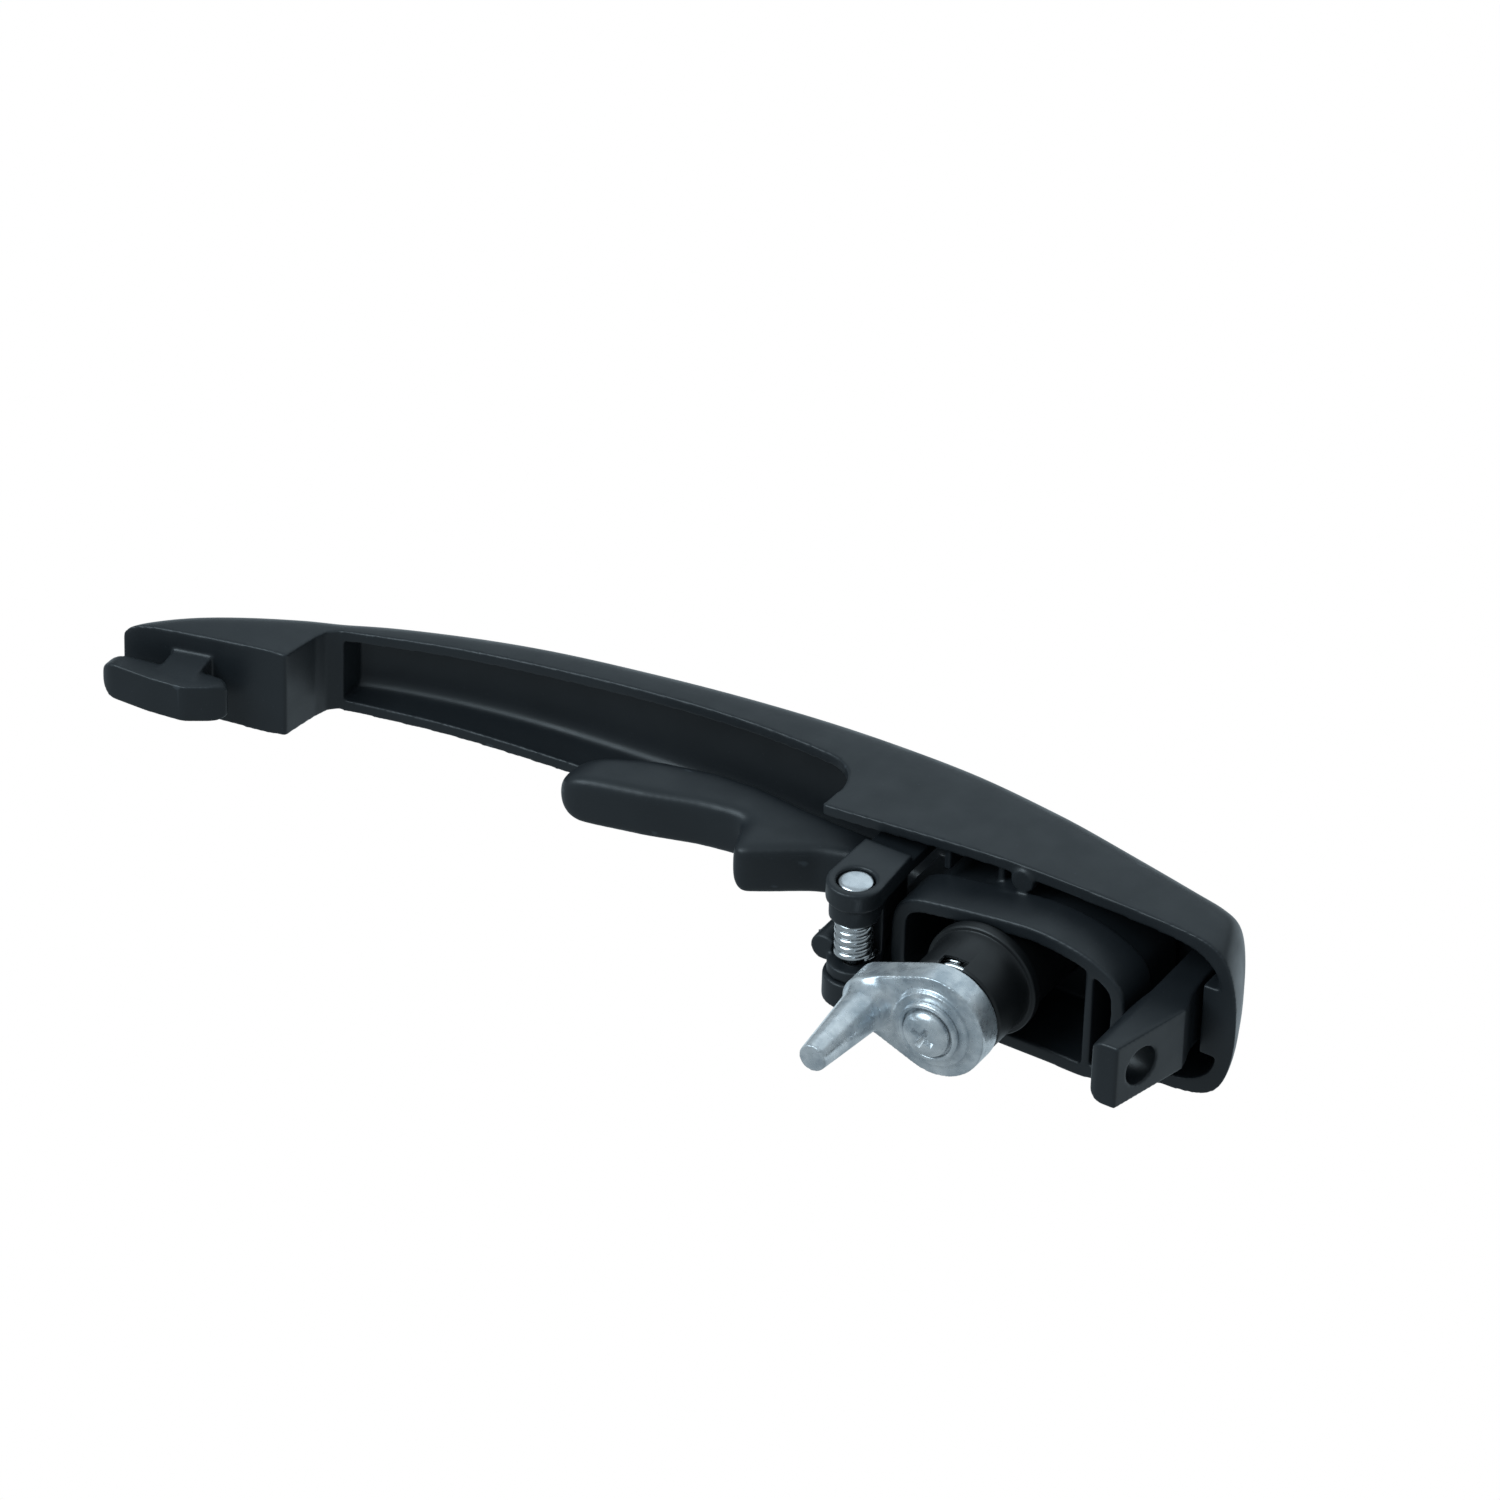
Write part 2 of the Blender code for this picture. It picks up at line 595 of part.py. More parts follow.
# ---------------------------------------------------------------- key lock
def lock_barrel():
    """Housing tube with an eccentric flange behind the collar, and two wafer grooves."""
    low, high = BARREL_Y
    middle = (low + high) / 2
    barrel = cylinder("lock_barrel", BARREL_RADIUS, high - low, (LOCK_X, middle, 0), "Y", collection=parts)
    flange_low, flange_high = FLANGE_Y
    flange = cylinder("flange", FLANGE_RADIUS, flange_high - flange_low,
                      (LOCK_X + FLANGE_OFFSET, (flange_low + flange_high) / 2, 0), "Y")
    join(barrel, flange)
    cut(barrel, cylinder("barrel_bore_inside", BARREL_BORE, 60, (LOCK_X, 0, 0), "Y"))
    half = WAFER_SIZE[0] / 2 + 0.3
    cut(barrel, box("wafer_grooves", (LOCK_X - half, -8, -8.3), (LOCK_X + half, 16.6, 8.3)))
    cut(barrel, cylinder("spring_room", SPRING_COUNTERBORE, 2 * SPRING_ROOM_DEPTH, (LOCK_X, low, 0), "Y"))
    cut(barrel, box("spring_notch", (LOCK_X - 3, low - 1, 6), (LOCK_X + 2, low + 2.4, 12)))
    return finish(barrel, barrel_black())


def wafer_places():
    return [FIRST_WAFER_Y - i * WAFER_PITCH for i in range(WAFER_COUNT)]


def lock_plug():
    """Turning core: a keyway along it, a slot for each wafer, and a shutter pocket in front."""
    low, high = PLUG_Y
    middle = (LOCK_X, (low + high) / 2, 0)
    plug = cylinder("lock_plug", PLUG_RADIUS, high - low, middle, "Y", collection=parts)
    width, height = KEYWAY
    keyway_low = (LOCK_X - width / 2, -7.0, -height / 2)
    keyway_high = (LOCK_X + width / 2, high + 1, height / 2)
    cut(plug, box("keyway", keyway_low, keyway_high))
    wx, wy, _ = WAFER_SIZE
    for number, y in enumerate(wafer_places(), 1):
        room = 0.12
        slot = box(f"wafer_slot_{number}", (LOCK_X - wx / 2 - room, y - wy / 2 - room, -7.5),
                   (LOCK_X + wx / 2 + room, y + wy / 2 + room, 7.5))
        cut(plug, slot)
    cut(plug, box("shutter_pocket", (LOCK_X - 2.6, high - 5.5, -4.7), (LOCK_X + 2.3, high - 0.9, 4.7)))
    cut(plug, cylinder("shutter_pin_bore", SHUTTER_PIN_RADIUS + 0.06, 11.4, (*SHUTTER_HINGE, 0), sides=16))
    thread_radius = LEVER_SCREW_RADIUS + 0.25
    cut(plug, cylinder("screw_thread", thread_radius, 2 * LEVER_SCREW_DEPTH, (LOCK_X, low, 0), "Y",
                       sides=SMALL_ROUND))
    return finish(plug, plug_zinc())


def wafer(number, y):
    """Flat tumbler with a window for the key; neighbours sit a little higher and lower."""
    wx, wy, wz = WAFER_SIZE
    width, height = KEYWAY
    shift = 0.1 if number % 2 else -0.1
    low = (LOCK_X - wx / 2, y - wy / 2, shift - wz / 2)
    high = (LOCK_X + wx / 2, y + wy / 2, shift + wz / 2)
    piece = box(f"wafer_{number}", low, high, collection=parts)
    window = box(f"wafer_window_{number}", (LOCK_X - width / 2, y - 1, 0.9 - height / 2),
                 (LOCK_X + width / 2, y + 1, height / 2 - 0.9))
    return finish(cut(piece, window), brass())


def face_cap():
    """Pressed ring over the front of the barrel; the plug's face shows through it."""
    low, high = CAP_Y
    middle = (LOCK_X, (low + high) / 2, 0)
    cap = cylinder("lock_face_cap", BARREL_RADIUS, high - low, middle, "Y", collection=parts)
    cut(cap, cylinder("cap_opening", BARREL_BORE, 10, (LOCK_X, high, 0), "Y"))
    return finish(cap, stainless())


def keyway_shutter():
    """Dust flap behind the plug's face, hinged on its own pin beside the key slot."""
    hinge_x, hinge_y = SHUTTER_HINGE
    half = KEYWAY[1] / 2 + 0.25
    flap_low = (hinge_x - 0.25, hinge_y + 0.05, -half)
    flap_high = (hinge_x + 3.65, hinge_y + 0.55, half)
    flap = box("keyway_shutter", flap_low, flap_high, collection=parts)
    join(flap, cylinder("shutter_knuckle", 0.62, 2 * half, (hinge_x, hinge_y, 0), sides=16))
    cut(flap, cylinder("shutter_bore", SHUTTER_PIN_RADIUS + 0.06, 20, (hinge_x, hinge_y, 0), sides=16))
    return finish(flap, stainless())


def shutter_pin():
    pin = cylinder("shutter_pin", SHUTTER_PIN_RADIUS, 11.0, (*SHUTTER_HINGE, 0), sides=16, collection=parts)
    return finish(pin, bright_steel())


def barrel_seal():
    """Rubber ring in a groove of the barrel's bore, near the outer face."""
    ring = cylinder("barrel_seal", SEAL_RADIUS, SEAL_WIDTH, (LOCK_X, SEAL_Y, 0), "Y", collection=parts)
    cut(ring, cylinder("seal_bore", BARREL_RADIUS + 0.15, 6, (LOCK_X, SEAL_Y, 0), "Y"))
    return finish(ring, seal_rubber())


def centring_spring():
    """Spring in the end of the barrel that brings the crank back to the middle."""
    end = BARREL_Y[0] + CENTRING_SPRING_WIRE + GAP
    start = BARREL_Y[0] + SPRING_ROOM_DEPTH - CENTRING_SPRING_WIRE - GAP
    route = []
    for x, z, y in coil((0, 0), CENTRING_SPRING_RADIUS, start, end, 1.5, 90, 28):
        route.append((LOCK_X + x, y, z))
    return finish(wire("centring_spring", route, CENTRING_SPRING_WIRE), spring_steel(), 60)


def lock_lever():
    """Cast crank on the back of the plug, with a tapered pin that works the latch."""
    low, high = LEVER_Y
    pin_x = LOCK_X - CRANK_LENGTH
    disc = arc((LOCK_X, 0), LEVER_RADIUS, -112, 112, 26)
    small = arc((pin_x, 0), 5.4, 112, 248, 12)
    crank = plate("lock_lever", disc + small, low, high, plane="XZ", collection=parts)
    soften(crank, 0.8)
    tip_y = CRANK_PIN_TIP_Y
    pin_middle = (pin_x, (low + 1 + tip_y) / 2, 0)
    pin = cylinder("crank_pin", 2.65, low + 1 - tip_y, pin_middle, "Y", top_radius=4.6, sides=32)
    join(crank, pin)
    join(crank, cylinder("lever_boss", 6.8, 2.0, (LOCK_X, low, 0), "Y"))
    cut(crank, cylinder("lever_bore", 2.6, 20, (LOCK_X, low, 0), "Y", sides=SMALL_ROUND))
    return finish(crank, zinc_plate())


def lever_washer():
    face = LEVER_Y[0] - 1.0 - 0.05
    ring = cylinder("lever_washer", 5.1, 0.6, (LOCK_X, face - 0.6, 0), "Y", sides=40, collection=parts)
    cut(ring, cylinder("washer_bore", 2.5, 6, (LOCK_X, face, 0), "Y", sides=SMALL_ROUND))
    return finish(ring, bright_steel())


def lever_screw():
    """Pan head screw with a cross recess, into the back of the plug."""
    seat = LEVER_Y[0] - 1.0 - 0.05 - 0.9 - GAP
    shank = LEVER_SCREW_RADIUS
    length = PLUG_Y[0] + LEVER_SCREW_DEPTH - 0.5 - seat
    profile = [(0, length), (shank - 0.3, length), (shank, length - 0.4), (shank, 0), (4.6, 0), (4.6, -0.9),
               (3.9, -1.7), (2.4, -2.1), (0, -2.2)]
    screw = turned("lever_screw", profile, (LOCK_X, seat, 0), "Y", sides=32)
    for name, turn in (("recess_a", 0), ("recess_b", 90)):
        slot = box(name, (-2.7, -3.0, -0.42), (2.7, -0.8, 0.42))
        slot.rotation_euler = (0.0, math.radians(turn + 12), 0.0)
        slot.location = (LOCK_X * MM, seat * MM, 0.0)
        cut(screw, slot)
    return finish(screw, bright_steel())


# ---------------------------------------------------------------- the whole handle
def build():
    handle_body()
    trigger()
    pivot_pin()
    trigger_spring()
    lock_barrel()
    lock_plug()
    for number, y in enumerate(wafer_places(), 1):
        wafer(number, y)
    face_cap()
    keyway_shutter()
    shutter_pin()
    barrel_seal()
    centring_spring()
    lock_lever()
    lever_washer()
    lever_screw()
    bpy.context.view_layer.update()


for leftover in list(bpy.data.objects):
    bpy.data.objects.remove(leftover, do_unlink=True)
bpy.context.scene.collection.children.link(parts)
bpy.context.scene.collection.children.link(cutters)
build()
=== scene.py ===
"""Looks of the car door handle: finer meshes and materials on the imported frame, with studio light.

The shapes are drawn in millimetres in the frame of the CAD model (+X towards the lock end, +Y out
of the door, +Z up); MM turns them into metres. Pivots and the ends of some pieces are read from the frame.
"""

import json
import math

import bmesh
import bpy
from mathutils import Matrix, Vector


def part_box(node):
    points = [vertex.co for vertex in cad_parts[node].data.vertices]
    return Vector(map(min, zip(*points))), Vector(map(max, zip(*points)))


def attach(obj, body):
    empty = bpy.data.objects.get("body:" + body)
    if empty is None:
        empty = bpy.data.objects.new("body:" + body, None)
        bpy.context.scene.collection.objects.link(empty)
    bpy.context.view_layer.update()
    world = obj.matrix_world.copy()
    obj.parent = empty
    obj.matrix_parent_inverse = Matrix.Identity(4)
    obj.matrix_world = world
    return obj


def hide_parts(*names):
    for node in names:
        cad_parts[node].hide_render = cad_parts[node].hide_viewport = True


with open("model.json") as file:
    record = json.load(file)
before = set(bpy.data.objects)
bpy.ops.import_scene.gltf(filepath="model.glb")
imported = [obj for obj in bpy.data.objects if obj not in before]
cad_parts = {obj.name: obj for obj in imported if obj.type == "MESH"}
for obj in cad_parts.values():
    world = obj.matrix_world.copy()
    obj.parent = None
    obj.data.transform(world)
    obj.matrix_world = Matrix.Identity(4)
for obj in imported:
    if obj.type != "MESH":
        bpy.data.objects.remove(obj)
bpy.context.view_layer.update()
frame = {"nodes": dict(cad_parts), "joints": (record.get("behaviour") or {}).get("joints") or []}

MM = 0.001


def joint_place(name):
    """A joint's place from the frame, in millimetres."""
    joint = next(j for j in frame["joints"] if j["name"] == name)
    return [value / MM for value in joint["pos_m"]]


def node_span(name, axis):
    """(lowest, highest) of a CAD node along an axis, in millimetres."""
    low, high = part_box(name)
    return low[axis] / MM, high[axis] / MM


X, Y, Z = 0, 1, 2
PIVOT = joint_place("trigger_pivot")[:2]
PIVOT_X, PIVOT_Y = PIVOT
LOCK_X = joint_place("lock_turn")[X]
FRONT_X = -227.0                # tip of the front foot
REAR_X = 1.4                    # outer end of the rear rim
GAP = 0.3                       # air between pieces that touch
PAST = 40                       # length of a cutter that reaches past both sides

# ---- handle body: the CAD model's lines, drawn finer; the hook's neck goes deeper into its head ----
WALL = 2.5
CROWN = 3.4                     # how far the outer face bulges past its top and bottom edges
EDGE_RUN = 7.0                  # how far the rounded edge reaches into the top face
EDGE_POWER = 2.6                # squareness of the rounded edge
BLANK_Y = -24.0                 # door-side face of the blank that the plan outline trims
SECTION_POINTS = 61             # points round half a section of the blank
# (x, y) of the outer edge line in plan, and (x, z) of half the height in side view
OUTER_LINE = [(-228, -15.2), (-226.4, -12.0), (-216, -3.2), (-199, 6.0), (-183, 13.4), (-160, 20.2),
              (-134, 24.4), (-112, 26.4), (-90, 26.6), (-68, 24.7), (-46, 20.4), (-25.6, 16.2), (-14, 13.9),
              (-8, 12.8), (-5, 11.5), (-3.2, 8.8), (-1.8, 5.6), (0, 1.6), (1.5, -2.5), (3.5, -9)]
HEIGHT_LINE = [(-228, 6.0), (-226.5, 7.5), (-224, 8.2), (-215, 8.8), (-200, 9.3), (-192, 9.0), (-148, 11.3),
               (-116, 13.0), (-84, 15.2), (-47, 18.2), (-29, 18.2), (-14, 17.7), (-8, 17.2), (-4, 16.2),
               (-1, 14.0), (1.6, 10.6), (4.5, 7.0)]
# (x, y) of the grip's door-side edge
GRIP_LINE = [(-192, 5.0), (-187, 6.5), (-170, 10.9), (-148.5, 14.4), (-128, 16.6), (-112, 17.0), (-98, 15.9),
             (-92, 15.0)]
FOOT_FACE = [(-240, -16.3), (-195.5, -7.48)]
GRIP_CORNER = [(-195.0, -3.5), (-194.4, 0.8), (-193.6, 3.4)]
REAR_CORNER_X = -84.3           # where the grip opening meets the rear seat
THROAT_MIDDLE = (-93.4, 5.6)    # of the round corner that leads there
THROAT_RADIUS = 9.5
OUTSIDE = (-240, 10, -45)       # (front x, rear x, y) of the plan outline, outside the handle
HOLLOW_START = -191.2           # front end of the hollow behind the outer face
HOLLOW_POWER = 7.0              # squareness of the hollow's section
HOLLOW_CROWN = 2.8              # how far its floor lies past its own edge line
BOSS_RADIUS = 12.6
BOSS_Y = (-1.0, 22.6)
FACE_RECESS_RADIUS = 11.2
FACE_RECESS_Y = 21.4
# (x, y) outline of the hook's head
HOOK_HEAD = [(-228.3, -17.8), (-228.3, -19.8), (-226.0, -21.0), (-217.0, -20.8), (-210.0, -19.9),
             (-205.6, -16.9), (-203.2, -14.4), (-205.0, -13.3), (-209.0, -13.4), (-217.0, -15.5),
             (-224.4, -16.9)]
HOOK_HALF_HEIGHT = 3.9
HOOK_MIDDLE_Z = -0.5
HOOK_CORNER = 2.5
NECK_X = (-217.5, -209.8)
NECK_Y = (-17.0, -7.5)          # at the head and at the foot
NECK_HALF_HEIGHT = (3.5, 5.6)   # at the head and at the foot
EAR_RADIUS = 5.4
EAR_STEP = 1.6                  # how much thinner an ear is where it leaves the shell
UPPER_EAR_Z = (9.4, 13.4)
LOWER_EAR_Z = (-12.2, -6.8)
COLLAR_Y = (-9.5, 0.4)
COLLAR_WALL = 2.3
COLLAR_ROUND = 2.5
COLLAR_FLOOR_Y = 7.5
TOWER_STEP = 1.7                # how much narrower the tower inside the shell is
TOWER_END_Y = 12.6
# (x, z) of the collar's outline from left to right, above and below the middle
COLLAR_TOP = [(-63.6, 5.0), (-62.3, 8.2), (-58.8, 10.2), (-50, 11.6), (-42, 12.7), (-35, 13.4), (-30, 13.0),
              (-24, 11.8), (-19, 9.4), (-16.6, 7.2), (-15.6, 4.0)]
COLLAR_BOTTOM = [(-63.6, -5.0), (-62.3, -8.2), (-58.8, -10.4), (-50, -12.8), (-42, -14.4), (-30, -14.5),
                 (-22.6, -14.8), (-18.2, -13.2), (-16.2, -10.0), (-15.6, -4.0)]
COLLAR_RIB_X = (-23.8, -22.2)
TIE_RIBS = [(-58.6, 1.0), (-47.8, 1.5)]    # (x, y of the door-side edge)
TIE_RIB_HALF_WIDTH = 0.7
PEG_RADIUS = 2.3                # ejector peg above the collar
PEG_LENGTH = 9.0
PEG_MIDDLE = (-42.4, 3.9, 15.2)
REAR_PAD = ((-5.3, 0.0, -7.4), (-1.0, 5.0, 7.4))
SCREW_POINT = (-7.6, -17.0)     # middle of the threaded hole on the screw face
BLOCK_TILT = math.radians(14)   # lean of the screw face from square to X
BLOCK_Z = (-7.1, 6.1)
BLOCK_ROUND = 3.4
SCREW_HOLE_Z = -0.8
SCREW_HOLE_RADIUS = 3.75
SCREW_HOLE_DEPTH = 7.5

# ---- trigger and spring ----
PADDLE_HALF_HEIGHT = 5.3
PADDLE_FRONT_X = -138.0
PADDLE_END_REACH = 8.0          # length of the paddle's half-round free end
KNUCKLE_RADIUS = 4.7
PIN_HEAD_RADIUS = 3.25
PIN_SHAFT_RADIUS = 1.65
PIN_HEAD_BORE = (3.6, 6.0)      # radius and length of the cutter for the head
SPRING_Z = (-4.0, 5.4)
SPRING_RADIUS = 2.8             # to the middle of the wire
SPRING_WIRE = 0.78              # wire radius
SPRING_TURNS = 5.0
SPRING_ROOM_RADIUS = 4.1        # of the round gap between the trigger's knuckles
STOP_RADIUS = 2.7               # rounded stop beside the spring

# ---- lock ----
BARREL_RADIUS = 10.0
BARREL_BORE = 6.9
BARREL_Y = node_span("lock_barrel", Y)
FLANGE_RADIUS = 11.2
FLANGE_Y = (-12.2, -9.9)
SPRING_COUNTERBORE = 9.4        # room for the centring spring at the barrel's inner end
SPRING_ROOM_DEPTH = 4.0
CENTRING_SPRING_RADIUS = 8.4
CENTRING_SPRING_WIRE = 0.55
CRANK_X = LOCK_X - 13.0
LEVER_FACE_Y = -28.6
LEVER_BACK_Y = -23.2
LEVER_RADIUS = 10.2
CRANK_END_RADIUS = 5.4
CRANK_PIN_RADIUS = (2.65, 4.6)  # at its tip and at its root
CRANK_BOSS_RADIUS = 7.6         # raised ring round the screw
CRANK_BORE_RADIUS = 2.6
CRANK_TIP_Y = node_span("lock_lever", Y)[0]


# ---------------------------------------------------------------- lines
def smooth_line(points, x):
    """Height at x of a smooth curve through (x, value) points, by cubic Hermite pieces."""
    x = min(max(x, points[0][0]), points[-1][0])
    index = 0
    while index < len(points) - 2 and x > points[index + 1][0]:
        index += 1
    (x0, y0), (x1, y1) = points[index], points[index + 1]
    before = points[max(index - 1, 0)]
    after = points[min(index + 2, len(points) - 1)]
    slope0 = (y1 - before[1]) / (x1 - before[0])
    slope1 = (after[1] - y0) / (after[0] - x0)
    run = x1 - x0
    t = (x - x0) / run
    return (y0 * (2 * t**3 - 3 * t**2 + 1) + slope0 * run * (t**3 - 2 * t**2 + t)
            + y1 * (3 * t**2 - 2 * t**3) + slope1 * run * (t**3 - t**2))


def spaced(start, end, count):
    """Evenly spaced values from start to end."""
    return [start + (end - start) * i / (count - 1) for i in range(count)]


def arc(centre, radius, start_deg, end_deg, count):
    """Points on a circle between two angles."""
    angles = [math.radians(a) for a in spaced(start_deg, end_deg, count)]
    return [(centre[0] + radius * math.cos(a), centre[1] + radius * math.sin(a)) for a in angles]


def rounded(outline, radius):
    """The outline with each corner replaced by a short quadratic curve of about that radius."""
    made = []
    total = len(outline)
    for i, point in enumerate(outline):
        here = Vector(point)
        before, after = Vector(outline[i - 1]), Vector(outline[(i + 1) % total])
        reach_in = min(radius, (before - here).length * 0.45)
        reach_out = min(radius, (after - here).length * 0.45)
        start = here + (before - here).normalized() * reach_in
        end = here + (after - here).normalized() * reach_out
        for t in spaced(0.0, 1.0, 5):
            made.append(tuple(start * (1 - t) ** 2 + here * 2 * t * (1 - t) + end * t**2))
    return made


def inset_outline(outline, distance):
    """Move each point of a counter-clockwise outline inwards by distance."""
    moved = []
    count = len(outline)
    for i, point in enumerate(outline):
        ahead = Vector(outline[(i + 1) % count]) - Vector(point)
        behind = Vector(point) - Vector(outline[i - 1])
        tangent = (ahead.normalized() + behind.normalized()).normalized()
        moved.append(tuple(Vector(point) + Vector((-tangent.y, tangent.x)) * distance))
    return moved


# ---------------------------------------------------------------- making meshes
def add_object(name, data):
    made = bpy.data.objects.new(name, data)
    bpy.context.scene.collection.objects.link(made)
    return made


def from_bmesh(name, form):
    bmesh.ops.recalc_face_normals(form, faces=form.faces[:])
    mesh = bpy.data.meshes.new(name)
    form.to_mesh(mesh)
    form.free()
    return add_object(name, mesh)


def evaluated(name, piece):
    """A plain mesh object of a piece as its modifiers leave it; the piece itself is removed."""
    bpy.context.view_layer.update()
    graph = bpy.context.evaluated_depsgraph_get()
    mesh = bpy.data.meshes.new_from_object(piece.evaluated_get(graph))
    mesh.transform(piece.matrix_world)
    bpy.data.objects.remove(piece, do_unlink=True)
    return add_object(name, mesh)


def welded(name, piece, distance=0.000002):
    """A plain mesh of a curve, with the points on its seams merged."""
    plain = evaluated(name, piece)
    form = bmesh.new()
    form.from_mesh(plain.data)
    bmesh.ops.remove_doubles(form, verts=form.verts[:], dist=distance)
    bpy.data.objects.remove(plain, do_unlink=True)
    return from_bmesh(name, form)


def box(low, high):
    low, high = Vector(low), Vector(high)
    form = bmesh.new()
    placing = Matrix.Translation((low + high) * 0.5 * MM) @ Matrix.Diagonal((*((high - low) * MM), 1.0))
    bmesh.ops.create_cube(form, size=1.0, matrix=placing)
    return from_bmesh("box", form)


def tapered_box(near, far):
    """A box that tapers along Y; near and far are (y, lowest x, highest x, half height) at its ends."""
    form = bmesh.new()
    bmesh.ops.create_cube(form, size=1.0)
    for vertex in form.verts:
        y, low_x, high_x, half_height = far if vertex.co.y > 0 else near
        x = high_x if vertex.co.x > 0 else low_x
        vertex.co = Vector((x, y, math.copysign(half_height, vertex.co.z))) * MM
    return from_bmesh("tapered_box", form)


def axis_matrix(axis, centre):
    """Turns a shape made along Z to the axis, and moves it to the centre."""
    turns = {"X": Matrix.Rotation(math.radians(90), 4, "Y"),
             "Y": Matrix.Rotation(math.radians(-90), 4, "X"),
             "Z": Matrix.Identity(4)}
    return Matrix.Translation(Vector(centre) * MM) @ turns[axis]


def cylinder(radius, length, centre, axis="Z", top_radius=None, sides=96):
    form = bmesh.new()
    end_radius = radius if top_radius is None else top_radius
    bmesh.ops.create_cone(form, cap_ends=True, segments=sides, radius1=radius * MM,
                          radius2=end_radius * MM, depth=length * MM, matrix=axis_matrix(axis, centre))
    return from_bmesh("cylinder", form)


def plate(outline, start, end, plane="XY"):
    """A flat outline, extruded from start to end along the axis it doesn't use."""
    curve = bpy.data.curves.new("plate", "CURVE")
    curve.dimensions = "2D"
    curve.fill_mode = "BOTH"
    curve.extrude = (end - start) * 0.5 * MM
    spline = curve.splines.new("POLY")
    spline.points.add(len(outline) - 1)
    for point, (first, second) in zip(spline.points, outline):
        point.co = (first * MM, second * MM, 0.0, 1.0)
    spline.use_cyclic_u = True
    guide = add_object("plate", curve)
    middle = (start + end) * 0.5 * MM
    if plane == "XY":
        guide.location = (0.0, 0.0, middle)
    else:
        guide.location = (0.0, middle, 0.0)
        guide.rotation_euler = (math.radians(90), 0.0, 0.0)
    return welded("plate", guide)


def wire(name, route, radius):
    """Round wire along a route, with filled ends."""
    curve = bpy.data.curves.new(name, "CURVE")
    curve.dimensions = "3D"
    curve.bevel_depth = radius * MM
    curve.bevel_resolution = 6
    curve.use_fill_caps = True
    spline = curve.splines.new("POLY")
    spline.points.add(len(route) - 1)
    for point, place in zip(spline.points, route):
        point.co = (*(Vector(place) * MM), 1.0)
    made = welded(name, add_object(name, curve), 0.0000005)
    made.data.shade_smooth()
    return made


def turned(name, profile, centre, axis="Y", sides=128):
    """Turned piece from (radius, height) points, closed on the axis or, off the axis, as a ring."""
    form = bmesh.new()
    chain = [form.verts.new((radius * MM, 0.0, height * MM)) for radius, height in profile]
    for first, second in zip(chain, chain[1:]):
        form.edges.new((first, second))
    if profile[0][0] > 0.0:
        form.edges.new((chain[-1], chain[0]))
    bmesh.ops.spin(form, geom=form.verts[:] + form.edges[:], cent=(0, 0, 0), axis=(0, 0, 1),
                   angle=math.radians(360), steps=sides, use_merge=True)
    bmesh.ops.remove_doubles(form, verts=form.verts[:], dist=0.000001)
    form.transform(axis_matrix(axis, centre))
    return from_bmesh(name, form)


def boolean(target, tool, operation):
    step = target.modifiers.new("step", "BOOLEAN")
    step.operation = operation
    step.object = tool
    step.solver = "MANIFOLD"
    made = evaluated(target.name, target)
    bpy.data.objects.remove(tool, do_unlink=True)
    return made


def cut(target, tool):
    return boolean(target, tool, "DIFFERENCE")


def join(target, tool):
    return boolean(target, tool, "UNION")


def overlap(target, tool):
    return boolean(target, tool, "INTERSECT")


def moulded(name, piece, voxel, rounds, keep=1.0):
    """Remesh a piece finely and smooth it, which rounds its edges and corners as moulding does."""
    step = piece.modifiers.new("remesh", "REMESH")
    step.mode = "VOXEL"
    step.voxel_size = voxel * MM * 1.0
    step.use_smooth_shade = True
    smooth = piece.modifiers.new("smooth", "SMOOTH")
    smooth.factor = 0.5
    smooth.iterations = max(2, int(rounds / (1.0)))
    if keep < 1.0:
        thin = piece.modifiers.new("thin", "DECIMATE")
        thin.ratio = keep
    made = evaluated(name, piece)
    made.data.shade_smooth()
    return made


def crisp(piece, width):
    """Small machined edges: a narrow bevel, and smooth shading across the rounds."""
    step = piece.modifiers.new("edges", "BEVEL")
    step.width = width * MM
    step.segments = 2
    step.limit_method = "ANGLE"
    step.angle_limit = math.radians(30)
    made = evaluated(piece.name, piece)
    made.data.shade_smooth()
    made.data.set_sharp_from_angle(angle=math.radians(40))
    return made


def place(piece, body, slot, paint, *nodes):
    """Give a piece its material, hang it on its body's empty, and hide the CAD nodes it takes the place of.
    """
    piece.data.materials.clear()
    piece.data.materials.append(paint)
    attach(piece, body)
    if nodes:
        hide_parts(*nodes)
    return piece


